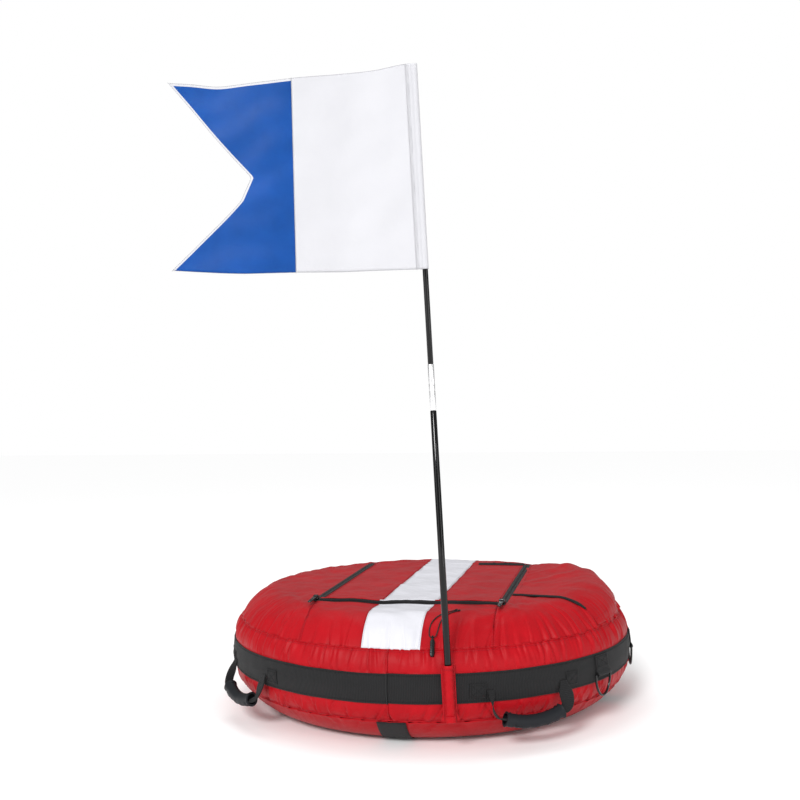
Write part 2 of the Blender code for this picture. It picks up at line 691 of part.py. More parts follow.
def make_slider(side, x):
    """A slider at the front end of one side of the zip, with its pull tab on a pin."""
    deck = COVER_TOP + SEAT_GAP + ZIP_HEIGHT + SEAT_GAP
    start = OPENING_FRONT - ZIP_WIDTH + SLIDER_INSET
    slider_place = Matrix.Translation((x, start, deck))
    half, base, cheek = SLIDER_WIDTH / 2, SLIDER_HEIGHT / 2, SLIDER_BEVEL
    eye = BAIL_PIN_RISE - SEAT_GAP
    pin_height = base + BAIL_PIN_RISE
    body_mesh = box_mesh("slider_" + side, (-half, 0, 0), (half, SLIDER_LENGTH, base))
    body = add_object("slider_" + side, body_mesh, BLACK_METAL, slider_place)
    bevel = body.modifiers.new("soft_edges", "BEVEL")
    bevel.width = SLIDER_BEVEL / 2
    bevel.segments = 1
    for cheek_side in (-1, 1):
        low, high = sorted((cheek_side * half * CHEEK_FACE_SHARE, cheek_side * (half - cheek)))
        plate = box_mesh("cheek", (low, cheek, base / 2), (high, cheek + 2 * eye, pin_height + eye / 2))
        boolean(body, plate, "UNION", "slider_cheek")
    pin = rod_mesh("bail_pin", (-half + cheek / 2, cheek + eye, pin_height),
                   (half - cheek / 2, cheek + eye, pin_height), BAIL_PIN_RADIUS, TOGGLE_SIDES)
    boolean(body, pin, "UNION", "bail_pin")
    pivot_place = slider_place @ Matrix.Translation((0, cheek + eye, pin_height))
    pivot = add_joint_empty("pull_pivot_" + side, pivot_place @ Matrix.Rotation(PULL_DROOP, 4, "X"))
    tab_half, thick = PULL_WIDTH / 2 - SEAT_GAP, PULL_THICKNESS / 2
    open_turn = pi - asin(thick / eye)
    tab = [(-PULL_LENGTH, -thick)] + arc((0, 0), eye, -open_turn, open_turn, 10) + [(-PULL_LENGTH, thick)]
    bore = arc((0, 0), BAIL_PIN_RADIUS + SEAT_GAP, 0, 2 * pi * (1 - 1 / TOGGLE_SIDES), TOGGLE_SIDES - 1)
    upright = Matrix(((0, 0, 1, 0), (1, 0, 0, 0), (0, 1, 0, 0), (0, 0, 0, 1)))
    mesh = outline_mesh("pull_" + side, [tab, bore], tab_half, upright)
    add_object("pull_" + side, mesh, BLACK_METAL, None, pivot)


def make_pocket():
    """The gusseted pocket on the right: cloth raised off the top panel, open under it."""
    columns = []
    for angle in facet_angles(POCKET_START, POCKET_END):
        along = (angle - POCKET_START) / (POCKET_END - POCKET_START)
        rise = POCKET_RISE * lerp_table(POCKET_LENGTH_SHARES, along)
        shares = row_shares(angle)
        inner, outer = column_ends(angle)
        start = (OPENING_HALF_WIDTH + ZIP_WIDTH + LID_GAP - inner.x) / (outer.x - inner.x)
        shares[:2] = (start, (start + shares[2]) / 2)
        base, column = top_column(angle, 0.0, shares), top_column(angle, 2 * SEAT_GAP, shares)
        column[-1] = column[-2].lerp(column[-1], POCKET_FOOT_SHARE)
        for i in range(1, len(column) - 1):
            outward = ((column[i] - base[i]).normalized() + Vector((0, 0, 1))).normalized()
            column[i] = column[i] + outward * rise * lerp_table(POCKET_CROWN_SHARES, shares[i])
        columns.append(column)
    rows = [list(row) for row in zip(*columns)]
    pocket = add_object("side_pocket", grid_mesh("side_pocket", rows), RED_CLOTH)
    thicken(pocket, COVER_CLOTH, 1)
    reach = POCKET_ZIP_WIDTH / FLOAT_RADIUS
    slip = SEAM_GAP / FLOAT_RADIUS
    near, far = (top_column(POCKET_START - back, 2 * SEAT_GAP)[1:-1] for back in (slip + reach, 2 * slip))
    strip = grid_mesh("pocket_zip", [list(row) for row in zip(near, far)])
    thicken(add_object("pocket_zip", strip, BLACK_PLASTIC), POCKET_ZIP_THICKNESS, 1)


# The pole, its sleeve and the flag. In the pole's frame Z runs up the pole and X along the rim.

def pole_place():
    foot = rim_place(POLE_ANGLE, BAND_FACE + SEAT_GAP + POLE_STANDOFF, POLE_FOOT_HEIGHT)
    return foot @ Matrix.Rotation(-POLE_LEAN, 4, "Y")


def make_sleeve(place):
    """The cloth sleeve sewn over the band, closed at its foot and open at its mouth."""
    half, back = SLEEVE_WIDTH / 2, POLE_STANDOFF
    flange = back - SLEEVE_FLANGE
    side = asin((flange - COVER_CLOTH / 2) / POLE_STANDOFF)
    outline = [(-half, back), (-half, flange)] + arc((0, 0), POLE_STANDOFF, pi - side, 2 * pi + side, 12)
    outline += [(half, flange), (half, back)]
    low = -SLEEVE_FLOOR - SEAT_GAP
    shift = Matrix.Translation((0, 0, low + SLEEVE_LENGTH / 2))
    sleeve = add_object("pole_sleeve", outline_mesh("pole_sleeve", [outline], SLEEVE_LENGTH / 2, shift),
                        RED_CLOTH, place)
    bore = rod_mesh("sleeve_bore", (0, 0, -SEAT_GAP), (0, 0, SLEEVE_LENGTH),
                    LOWER_POLE_RADIUS + POLE_CLEARANCE, POLE_SIDES)
    boolean(sleeve, bore, "DIFFERENCE", "sleeve_bore")


def make_pole(place):
    """The lower and upper poles, joined by spigots in a metal ferrule."""
    low_axis = add_joint_empty("pole_axis", place)
    shoulder = LOWER_POLE_LENGTH
    turned("lower_pole", [
        (0, shoulder + SPIGOT_LENGTH), (SPIGOT_RADIUS, shoulder + SPIGOT_LENGTH),
        (SPIGOT_RADIUS, shoulder), (LOWER_POLE_TOP_RADIUS, shoulder), (LOWER_POLE_RADIUS, 0), (0, 0),
    ], BLACK_ROD, POLE_SIDES, None, low_axis)
    bottom = shoulder + SEAT_GAP
    top = bottom + FERRULE_LENGTH
    ferrule = turned("pole_ferrule", [(FERRULE_RADIUS, top), (FERRULE_RADIUS, bottom)], ALUMINIUM,
                     POLE_SIDES, None, low_axis)
    thicken(ferrule, FERRULE_RADIUS - SPIGOT_RADIUS - SEAT_GAP, -1)
    seat = top + SEAT_GAP
    upper_axis = add_joint_empty("upper_pole_axis", place)
    turned("upper_pole", [
        (0, seat + UPPER_POLE_LENGTH), (UPPER_POLE_TOP_RADIUS, seat + UPPER_POLE_LENGTH),
        (UPPER_POLE_RADIUS, seat), (SPIGOT_RADIUS, seat), (SPIGOT_RADIUS, seat - SPIGOT_LENGTH),
        (0, seat - SPIGOT_LENGTH),
    ], BLACK_ROD, POLE_SIDES, None, upper_axis)
    return seat + UPPER_POLE_LENGTH


def make_flag(place, pole_top):
    """The hem that turns on the pole, and the flag's white and blue cloths sewn to it."""
    axis = add_joint_empty("flag_axis", place)
    bore = UPPER_POLE_RADIUS + POLE_CLEARANCE
    outer = bore + HEM_WALL
    flat = FLAG_CLOTH + HEM_WALL / 2
    side = asin(flat / outer)
    outline = [(-HEM_TAIL, -flat)] + arc((0, 0), outer, side - pi, pi - side, 12) + [(-HEM_TAIL, flat)]
    top = pole_top + SEAT_GAP + HEM_TOP_MARGIN
    shift = Matrix.Translation((0, 0, top - FLAG_HOIST / 2))
    hem = add_object("flag_hem", outline_mesh("flag_hem", [outline], FLAG_HOIST / 2, shift), WHITE_FLAG,
                     None, axis)
    hole = rod_mesh("hem_bore", (0, 0, top - FLAG_HOIST - HEM_TAIL), (0, 0, pole_top + SEAT_GAP), bore,
                    POLE_SIDES)
    boolean(hem, hole, "DIFFERENCE", "hem_bore")
    low = top - FLAG_HOIST
    start = HEM_TAIL + SEAM_GAP
    seam = SEAM_GAP / 2
    for name, material, first, last in (("flag_white", WHITE_FLAG, 0, 1), ("flag_blue", BLUE_FLAG, 1, 2)):
        rows = []
        for height_share in FLAG_ROW_SHARES:
            middle = FLAG_FLY * lerp_table(FLAG_SEAM_SHARES, height_share)
            reach = FLAG_FLY * lerp_table(FLAG_REACH_SHARES, height_share)
            ends = (start, middle - seam, middle + seam, reach)
            near, far = ends[2 * first], ends[2 * first + 1]
            rows.append([flag_point(near + (far - near) * i / FLAG_COLUMNS, height_share, start, low)
                         for i in range(FLAG_COLUMNS + 1)])
        cloth = add_object(name, grid_mesh(name, rows), material, None, axis)
        thicken(cloth, FLAG_CLOTH, 0)


def flag_point(reach, height_share, start, low):
    """A point of the flag's cloth, by its reach from the pole and its share of the local height."""
    share = (reach - start) / (FLAG_FLY - start)
    bottom = lerp_table(FLAG_BOTTOM_EDGE_SHARES, share)
    top = lerp_table(FLAG_TOP_EDGE_SHARES, share)
    height = low + FLAG_HOIST * (bottom + (top - bottom) * height_share)
    ramp = min(share * FLAG_RAMP, 1.0)
    phase = FLAG_WAVES * 2 * pi * share + FLAG_TWIST * (height_share - 0.5)
    return Vector((-reach, FLAG_WAVE * ramp * sin(phase), height))


# Handles, D-rings and their webbing tabs

def make_handle(number, angle):
    """A webbing loop through a rubber grip, hung from two ends sewn to the band."""
    half_span = HANDLE_SPAN / 2
    leg = HANDLE_STRAP_WIDTH / 4
    face = band_face(HANDLE_PIVOT_HEIGHT)
    chord = (face ** 2 - (half_span - leg) ** 2) ** 0.5 + SEAT_GAP + WEBBING / 2
    place = rim_place(angle, chord, HANDLE_PIVOT_HEIGHT) @ Matrix.Rotation(-HANDLE_TILT, 4, "X")
    pivot = add_joint_empty("handle_pivot_%d" % number, place)
    bore = GRIP_RADIUS - GRIP_WALL
    inside = (((bore * cos(pi / GRIP_SIDES) - SEAT_GAP) ** 2 - (WEBBING / 2) ** 2)) ** 0.5
    half_grip = GRIP_LENGTH / 2

    def drop(x):
        return -HANDLE_DROP - GRIP_BOW * (1 - (x / half_grip) ** 2)

    grip_points = [Vector((x, 0, drop(x))) for x in
                   [half_grip * (2 * i / GRIP_STEPS - 1) for i in range(GRIP_STEPS + 1)]]
    shell = wire_mesh("handle_grip_%d" % number, grip_points, GRIP_RADIUS, GRIP_RESOLUTION, capped=False)
    grip = add_object("handle_grip_%d" % number, shell, RUBBER, None, pivot)
    thicken(grip, GRIP_WALL, -1)
    slope = 2 * GRIP_BOW / half_grip
    lead = Vector((1, 0, slope)).normalized() * HANDLE_LEAD
    rise = Vector((0, 0, 1))
    left = [(Vector((-half_span, 0, 0)), Vector((leg, 0, 0))),
            (Vector((-half_span, 0, -HANDLE_DROP / 2)), Vector((leg, 0, 0))),
            (grip_points[0] - Vector((lead.x, 0, -lead.z)), rise * inside * STRAP_NECK_SHARE)]
    through = [(point, rise * inside) for point in grip_points]
    right = [(Vector((-point.x, 0, point.z)), Vector((-side.x, 0, side.z)) if side.x else side)
             for point, side in reversed(left)]
    rows = [[point - side, point + side] for point, side in left + through + right]
    strap = add_object("handle_strap_%d" % number, grid_mesh("handle_strap_%d" % number, rows),
                       WEBBING_BLACK, None, pivot)
    thicken(strap, WEBBING, 0)
    tab_half = HANDLE_TAB_LENGTH / 2
    tab_turn = asin((half_span + leg + SEAT_GAP + tab_half) / face)
    for side, sign in (("a", -1), ("b", 1)):
        name = "handle_tab_%d%s" % (number, side)
        low = HANDLE_PIVOT_HEIGHT - HANDLE_STRAP_WIDTH / 2
        high = HANDLE_PIVOT_HEIGHT + HANDLE_STRAP_WIDTH / 2
        outline = [(band_face(z) + SEAT_GAP, z) for z in (low, RIM_HEIGHT, high)]
        outline += [(x + WEBBING, z) for x, z in reversed(outline)]
        add_object(name, outline_mesh(name, [outline], tab_half, SECTION_TURN), WEBBING_BLACK,
                   Matrix.Rotation(angle + sign * tab_turn, 4, "Z"))


def make_ring(number, angle):
    """A wire D-ring in the loop of a webbing tab that is sewn to the band."""
    wire = RING_WIRE / 2
    loop = wire + SEAT_GAP + TAB_LOOP_WALL
    bar = band_face(RING_BAR_HEIGHT) + SEAT_GAP + loop
    high = RING_BAR_HEIGHT + TAB_HEIGHT
    inner = [(band_face(z) + SEAT_GAP, z) for z in (high, RIM_HEIGHT)]
    outline = inner + [(bar + loop * cos(a), RING_BAR_HEIGHT + loop * sin(a)) for a in
                       [pi + pi * i / 8 for i in range(9)]]
    outline += [(x + TAB_THICKNESS, z) for x, z in reversed(inner)]
    bore = arc((bar, RING_BAR_HEIGHT), wire + SEAT_GAP, 0, 2 * pi * 11 / 12, 11)
    name = "ring_tab_%d" % number
    turn = Matrix.Rotation(angle, 4, "Z")
    add_object(name, outline_mesh(name, [outline, bore], TAB_WIDTH / 2, SECTION_TURN), WEBBING_BLACK, turn)
    pivot = add_joint_empty("ring_pivot_%d" % number, rim_place(angle, bar, RING_BAR_HEIGHT))
    half, drop = RING_WIDTH / 2 - wire, RING_DROP - wire
    corner = RING_WIRE * RING_CORNER_SHARE
    points = [(-half + corner, 0), (half - corner, 0)]
    points += arc((half - corner, -corner), corner, pi / 4, 0, 1)
    points += [(half * cos(a), -corner + (drop - corner) * sin(a)) for a in
               [-pi * i / RING_STEPS for i in range(1, RING_STEPS)]]
    points += arc((corner - half, -corner), corner, pi, 3 * pi / 4, 1)
    mesh = wire_mesh("d_ring_%d" % number, [(x, 0, z) for x, z in points], wire, 1, cyclic=True)
    add_object("d_ring_%d" % number, mesh, BLACK_METAL, None, pivot)


# The pull cord on the front, a loop with a moulded toggle at its end

def make_cord():
    lift = TOGGLE_THICKNESS / 2 + CORD_DIAMETER
    toggle_top, toggle_end = over_top(*CORD_TOGGLE_PLACE, lift), over_top(*CORD_TOGGLE_END, lift)
    down = (toggle_end - toggle_top).normalized()
    side = down.cross(Vector((CORD_TOGGLE_PLACE[0], CORD_TOGGLE_PLACE[1], FLOAT_RADIUS))).normalized()
    out = side.cross(down)
    if out.z < 0:
        side, out = -side, -out
    frame = Matrix((side, down, out)).transposed().to_4x4()
    place = Matrix.Translation(toggle_top) @ frame
    bore = CORD_DIAMETER / 2 + 2 * SEAT_GAP
    lug, half = 2 * bore, TOGGLE_WIDTH / 2
    outline = [(-lug / 2, -lug), (lug / 2, -lug), (lug / 2, lug), (half, 2 * lug)]
    outline += arc((0, TOGGLE_LENGTH - half), half, 0, pi, 6) + [(-half, 2 * lug), (-lug / 2, lug)]
    mesh = outline_mesh("cord_toggle", [outline], TOGGLE_THICKNESS / 2)
    toggle = add_object("cord_toggle", mesh, BLACK_PLASTIC, place)
    hole = rod_mesh("toggle_eye", (-TOGGLE_WIDTH, 0, 0), (TOGGLE_WIDTH, 0, 0), bore, TOGGLE_SIDES)
    boolean(toggle, hole, "DIFFERENCE", "toggle_eye")
    lift = CORD_DIAMETER / 2 + 2 * SEAT_GAP
    left = [over_top(x, y, lift) for x, y in CORD_LEFT_PLACES]
    right = [over_top(x, y, lift) for x, y in CORD_RIGHT_PLACES]
    bend, flat = CORD_BEND_RADIUS, lug / 2
    corner = bend * cos(pi / 4)
    turn = [place @ Vector(point) for point in (
        (-flat - bend, -bend, 0), (-flat - corner, corner - bend, 0), (-flat, 0, 0), (flat, 0, 0),
        (flat + corner, corner - bend, 0), (flat + bend, -bend, 0))]
    if (turn[0] - left[-1]).length > (turn[-1] - left[-1]).length:
        turn.reverse()
    route = smooth_route(left + turn + right, CORD_STEP)
    add_object("pull_cord", wire_mesh("pull_cord", route, CORD_DIAMETER / 2, 2), BLACK_CORD)


def smooth_route(points, step):
    """Points at an even step along a smooth curve through the route's own points."""
    points = [Vector(point) for point in points]
    padded = [2 * points[0] - points[1]] + points + [2 * points[-1] - points[-2]]
    fine = []
    for a, b, c, d in zip(padded, padded[1:], padded[2:], padded[3:]):
        for i in range(ROUTE_FINENESS):
            t = i / ROUTE_FINENESS
            fine.append((b * 2 + (c - a) * t + (a * 2 - b * 5 + c * 4 - d) * t ** 2
                         + (b * 3 - a - c * 3 + d) * t ** 3) / 2)
    fine.append(points[-1])
    length = sum((b - a).length for a, b in zip(fine, fine[1:]))
    count = int(ceil(length / step))
    spaced, travelled, target = [fine[0]], 0.0, length / count
    for a, b in zip(fine, fine[1:]):
        stretch = (b - a).length
        while stretch > 0 and travelled + stretch >= target - SEAT_GAP / 100 and len(spaced) < count:
            spaced.append(a + (b - a) * ((target - travelled) / stretch))
            target += length / count
        travelled += stretch
    return spaced + [fine[-1]]


def make_float():
    make_inner_tube()
    make_side_and_bottom()
    make_top()
    make_lid()
    make_zip()
    make_pocket()
    place = pole_place()
    make_sleeve(place)
    make_flag(place, make_pole(place))
    for number, angle in enumerate(HANDLE_ANGLES, 1):
        make_handle(number, angle)
    for number, angle in enumerate(RING_ANGLES, 1):
        make_ring(number, angle)
    make_cord()


PARTS = make_collection("dive_flag_float")
CUTTERS = make_collection("cutters")
RED_CLOTH = make_material("red_coated_nylon", RED, 0.5)
WHITE_CLOTH = make_material("white_coated_nylon", WHITE, 0.5)
WEBBING_BLACK = make_material("black_webbing", BLACK, 0.8)
BLACK_PLASTIC = make_material("black_plastic", BLACK, 0.45)
BLACK_METAL = make_material("black_metal", BLACK, 0.35, 0.6)
BLACK_ROD = make_material("black_glass_fibre", BLACK, 0.35)
BLACK_CORD = make_material("black_cord", BLACK, 0.8)
RUBBER = make_material("black_rubber", BLACK, 0.7)
ALUMINIUM = make_material("aluminium", SILVER, 0.35, 1.0)
BRASS_METAL = make_material("brass", BRASS, 0.35, 1.0)
WHITE_FLAG = make_material("white_flag_cloth", WHITE, 0.35)
BLUE_FLAG = make_material("blue_flag_cloth", BLUE, 0.35)
make_float()
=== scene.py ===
"""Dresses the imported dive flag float: cover cloth, webbing, zips, handles, pole, flag and studio."""

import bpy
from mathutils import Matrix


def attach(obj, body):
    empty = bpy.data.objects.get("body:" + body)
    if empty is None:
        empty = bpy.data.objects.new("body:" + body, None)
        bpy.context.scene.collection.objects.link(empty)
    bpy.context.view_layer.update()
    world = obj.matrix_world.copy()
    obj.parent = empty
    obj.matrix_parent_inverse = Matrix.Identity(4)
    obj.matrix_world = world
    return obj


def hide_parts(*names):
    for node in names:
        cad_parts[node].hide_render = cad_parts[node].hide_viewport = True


bl_info = {
    "name": "Dive flag float",
    "version": (1, 0, 0),
    "blender": (4, 5, 0),
    "location": "3D View > Sidebar > Float",
    "description": "Builds the cloth, webbing, fittings and flag of an inflated dive float",
    "category": "Add Mesh",
}

import random
from math import asin, cos, pi, radians, sin

import bmesh
import bpy
import numpy as np
from mathutils import Matrix, Vector

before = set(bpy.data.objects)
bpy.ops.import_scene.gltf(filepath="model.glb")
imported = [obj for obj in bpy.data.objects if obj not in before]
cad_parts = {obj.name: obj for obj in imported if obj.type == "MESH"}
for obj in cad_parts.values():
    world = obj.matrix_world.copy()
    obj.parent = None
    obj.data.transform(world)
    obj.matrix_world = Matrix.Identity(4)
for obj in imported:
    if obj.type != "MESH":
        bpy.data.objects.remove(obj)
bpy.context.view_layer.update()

# The float's own form, in metres, as the solids have it
FLOAT_RADIUS = 0.400
FLOAT_HEIGHT = 0.2257
RIM_HEIGHT = 0.1100
TOP_FLAT_RADIUS = 0.308
BOTTOM_FLAT_RADIUS = 0.303
CROWN_POWER = 1.87
WEBBING = 0.0015
WEBBING_WIDTH = 0.052
GAP = 0.0003
COVER_BOTTOM = WEBBING + GAP
UPPER_SEAM_HEIGHT = 0.1735
LOWER_SEAM_HEIGHT = 0.0505
BAND_FACE = FLOAT_RADIUS + GAP + WEBBING
OPENING_HALF_WIDTH = 0.170
OPENING_FRONT = -0.2205
OPENING_BACK = 0.2275
HALF_STRIPE = 0.0525
ZIP_WIDTH = 0.014
CORNER_ANGLE = radians(27)
POCKET_START = radians(66)
POCKET_END = radians(144)
POCKET_SEAMS = (-0.130, 0.207)
POLE_ANGLE = radians(15.2)
POLE_LEAN = radians(2.24)
POLE_FOOT = 0.060
POLE_STANDOFF = 0.0076
LOWER_POLE_LENGTH = 0.526
FERRULE_LENGTH = 0.078
UPPER_POLE_LENGTH = 0.505
HEM_TAIL = 0.0135
FLAG_HOIST = 0.347
FLAG_FLY = 0.424
FLAG_TOP = LOWER_POLE_LENGTH + FERRULE_LENGTH + UPPER_POLE_LENGTH + 3 * GAP + 0.0025
HANDLE_ANGLES = (radians(35.6), radians(131.0), radians(215.6), radians(311.0))
HANDLE_HALF_SPAN = 0.072
HANDLE_HEIGHT = 0.105
RING_ANGLES = (radians(61.5), radians(97.5), radians(241.5), radians(277.5))
RING_BAR_HEIGHT = 0.0985
RING_WIRE = 0.00225

# What the scene's own cloth, thread and seams measure, in metres
CLOTH = 0.0009
LIP_CLOTH = 0.0005
SEAM_SLIT = 0.0002
STITCH_LIFT = 0.0003
# The pitch of a wave texture's bands at a scale of 1
WAVE_PITCH = 0.314

UP = (0, 0, 1)
METAL = "enamelled_metal"


# Settings that a user would change

class CoverSettings(bpy.types.PropertyGroup):
    red: bpy.props.StringProperty(
        name="Red", description="Red of the coated cloth, as sRGB hex", default="A00512")
    white: bpy.props.StringProperty(
        name="White", description="White of the stripe, as sRGB hex", default="CACAD0")
    fold_depth: bpy.props.FloatProperty(
        name="Fold depth", description="How deep the cloth's gathers are by the seams",
        default=0.0040, min=0, max=0.008, unit="LENGTH")
    fold_count: bpy.props.IntProperty(
        name="Folds", description="How many gathers there are round the rim", default=112, min=0, max=400)
    seed: bpy.props.IntProperty(name="Seed", description="Which set of gathers is drawn", default=7)


class TrimSettings(bpy.types.PropertyGroup):
    black: bpy.props.StringProperty(
        name="Black", description="Black of the webbing, as sRGB hex", default="19191A")
    stitch_length: bpy.props.FloatProperty(
        name="Stitch length", description="Length of one stitch", default=0.0035, min=0.001, unit="LENGTH")
    thread_radius: bpy.props.FloatProperty(
        name="Thread radius", description="Radius of the sewing thread", default=0.00035, min=0.0001,
        unit="LENGTH")
    tooth_pitch: bpy.props.FloatProperty(
        name="Tooth pitch", description="Distance from one zip tooth to the next", default=0.0022,
        min=0.001, unit="LENGTH")


class FlagSettings(bpy.types.PropertyGroup):
    blue: bpy.props.StringProperty(
        name="Blue", description="Blue of the flag's fly, as sRGB hex", default="10458F")
    wave_depth: bpy.props.FloatProperty(
        name="Wave depth", description="How far the flag's ripples stand out", default=0.007, min=0,
        max=0.02, unit="LENGTH")
    border: bpy.props.FloatProperty(
        name="Border", description="Width of the bare white edge round the blue", default=0.0045, min=0,
        unit="LENGTH")


def settings(group):
    """The user's settings of one group: cover, trim or flag."""
    return getattr(bpy.context.scene, "float_" + group)


# Materials

def linear(code):
    """An sRGB hex colour as linear RGBA."""
    parts = [int(code[i:i + 2], 16) / 255 for i in (0, 2, 4)]
    return tuple(c / 12.92 if c <= 0.04045 else ((c + 0.055) / 1.055) ** 2.4 for c in parts) + (1.0,)


def add_node(tree, kind, values=None, links=None, **options):
    """Adds a node with its options, its sockets' values and the links into it."""
    made = tree.nodes.new(kind)
    for key, value in options.items():
        setattr(made, key, value)
    for socket, value in (values or {}).items():
        made.inputs[socket].default_value = value
    for socket, source in (links or {}).items():
        tree.links.new(source, made.inputs[socket])
    return made


def start_material(name, **values):
    """A new material with its shader's constant values, and its UVs and Object coordinates."""
    material = bpy.data.materials.new(name)
    material.use_nodes = True
    tree = material.node_tree
    shader = tree.nodes["Principled BSDF"]
    for socket, value in values.items():
        shader.inputs[socket.replace("_", " ")].default_value = value
    place = add_node(tree, "ShaderNodeTexCoord").outputs
    return material, tree, shader, place["UV"], place["Object"]


def cloth_material(name, colour, pitch, sheen, roughness, crease, fade_and_sheen=0.09):
    """Coated woven cloth: a fine plain weave, soft creases, and paler patches of rubbed wear and painted
    sheen.
    """
    material, tree, shader, uv, local = start_material(
        name, Sheen_Weight=sheen, Sheen_Roughness=0.4, Specular_IOR_Level=0.14)
    # Paler patches some centimetres wide: faded coating, and on the flag's blue a painted reflection of its
    # sheen
    patch = add_node(tree, "ShaderNodeTexNoise", {"Scale": 14, "Detail": 4, "Roughness": 0.6},
                     {"Vector": local})
    tone = add_node(tree, "ShaderNodeMapRange",
                    {"From Min": 0.3, "From Max": 0.7, "To Min": 1 - fade_and_sheen, "To Max": 1 + fade_and_sheen},
                    {"Value": patch.outputs["Fac"]})
    base = add_node(tree, "ShaderNodeHueSaturation", {"Color": linear(colour)},
                    {"Value": tone.outputs["Result"]})
    tree.links.new(base.outputs["Color"], shader.inputs["Base Color"])
    # The threads of the plain weave, seen through the coating
    warp, weft = (add_node(tree, "ShaderNodeTexWave", {"Scale": WAVE_PITCH / pitch, "Distortion": 0.4},
                           {"Vector": uv}, bands_direction=way).outputs["Fac"] for way in "XY")
    weave = add_node(tree, "ShaderNodeMath", {}, {0: warp, 1: weft}, operation="MULTIPLY")
    fine = add_node(tree, "ShaderNodeBump", {"Strength": 0.35, "Distance": pitch * 0.12},
                    {"Height": weave.outputs["Value"]})
    # Handling creases, a few millimetres wide
    rumple = add_node(tree, "ShaderNodeTexNoise",
                      {"Scale": 60, "Detail": 3, "Roughness": 0.55, "Distortion": 0.8},
                      {"Vector": local})
    broad = add_node(tree, "ShaderNodeBump", {"Strength": 0.5, "Distance": crease},
                     {"Height": rumple.outputs["Fac"], "Normal": fine.outputs["Normal"]})
    tree.links.new(broad.outputs["Normal"], shader.inputs["Normal"])
    worn = add_node(tree, "ShaderNodeMapRange", {"To Min": roughness - 0.07, "To Max": roughness + 0.09},
                    {"Value": rumple.outputs["Fac"]})
    tree.links.new(worn.outputs["Result"], shader.inputs["Roughness"])
    return material


def webbing_material(name, colour, pitch=0.0030):
    """Woven strap: ribs across its width, a twill between them, and painted shade that keeps the high threads
    lighter.
    """
    material, tree, shader, uv, local = start_material(
        name, Roughness=0.72, Sheen_Weight=0.05, Specular_IOR_Level=0.2)
    rib = add_node(tree, "ShaderNodeTexWave", {"Scale": WAVE_PITCH / pitch, "Distortion": 0.6, "Detail": 1},
                   {"Vector": uv}, bands_direction="X")
    thread = add_node(tree, "ShaderNodeTexWave", {"Scale": WAVE_PITCH / (pitch * 0.6), "Distortion": 0.5},
                      {"Vector": uv}, bands_direction="Y")
    weave = add_node(tree, "ShaderNodeMath", {1: 0.45}, {0: thread.outputs["Fac"], 2: rib.outputs["Fac"]},
                     operation="MULTIPLY_ADD")
    bump = add_node(tree, "ShaderNodeBump", {"Strength": 0.8, "Distance": pitch * 0.2},
                    {"Height": weave.outputs["Value"]})
    tree.links.new(bump.outputs["Normal"], shader.inputs["Normal"])
    # Dust and wear make some of the weave a little greyer; the weave's height adds painted shade, darker in
    # its grooves
    dust = add_node(tree, "ShaderNodeTexNoise", {"Scale": 35, "Detail": 5, "Roughness": 0.65},
                    {"Vector": local})
    dust_and_rib_shade = add_node(tree, "ShaderNodeMath", {1: 0.5}, {0: dust.outputs["Fac"], 2: weave.outputs["Value"]},
                     operation="MULTIPLY_ADD")
    tone = add_node(tree, "ShaderNodeMapRange",
                    {"From Min": 0.2, "From Max": 1.6, "To Min": 0.7, "To Max": 1.5},
                    {"Value": dust_and_rib_shade.outputs["Value"]})
    base = add_node(tree, "ShaderNodeHueSaturation", {"Color": linear(colour)},
                    {"Value": tone.outputs["Result"]})
    tree.links.new(base.outputs["Color"], shader.inputs["Base Color"])
    return material


def hard_material(name, colour, roughness, grain, depth, coat=0.0, stretch=(1, 1, 1)):
    """A hard or rubbery surface: fine grain in its finish, uneven gloss and slight tone changes."""
    material, tree, shader, _, local = start_material(name, Coat_Weight=coat, Specular_IOR_Level=0.2)
    scaled = add_node(tree, "ShaderNodeMapping", {"Scale": stretch}, {"Vector": local})
    noise = add_node(tree, "ShaderNodeTexNoise", {"Scale": 1 / grain, "Detail": 4, "Roughness": 0.6},
                     {"Vector": scaled.outputs["Vector"]})
    # Handling leaves broad smudges in the gloss
    smudge = add_node(tree, "ShaderNodeTexNoise", {"Scale": 40, "Detail": 3}, {"Vector": local})
    gloss = add_node(tree, "ShaderNodeMapRange", {"To Min": roughness * 0.75, "To Max": roughness * 1.3},
                     {"Value": smudge.outputs["Fac"]})
    tree.links.new(gloss.outputs["Result"], shader.inputs["Roughness"])
    tone = add_node(tree, "ShaderNodeMapRange", {"To Min": 0.88, "To Max": 1.12},
                    {"Value": noise.outputs["Fac"]})
    base = add_node(tree, "ShaderNodeHueSaturation", {"Color": linear(colour)},
                    {"Value": tone.outputs["Result"]})
    tree.links.new(base.outputs["Color"], shader.inputs["Base Color"])
    bump = add_node(tree, "ShaderNodeBump", {"Strength": 0.6, "Distance": depth},
                    {"Height": noise.outputs["Fac"]})
    tree.links.new(bump.outputs["Normal"], shader.inputs["Normal"])
    return material


def flag_material(name, colour, fade_and_sheen=0.015):
    """Thin polyester flag cloth: a very fine weave, a satin sheen and light that glows through a little."""
    material = cloth_material(name, colour, 0.0006, 0.08, 0.42, 0.0004, fade_and_sheen)
    shader = material.node_tree.nodes["Principled BSDF"]
    shader.inputs["Subsurface Weight"].default_value = 0.15
    shader.inputs["Subsurface Radius"].default_value = (0.004, 0.004, 0.004)
    shader.inputs["Subsurface Scale"].default_value = 0.5
    return material


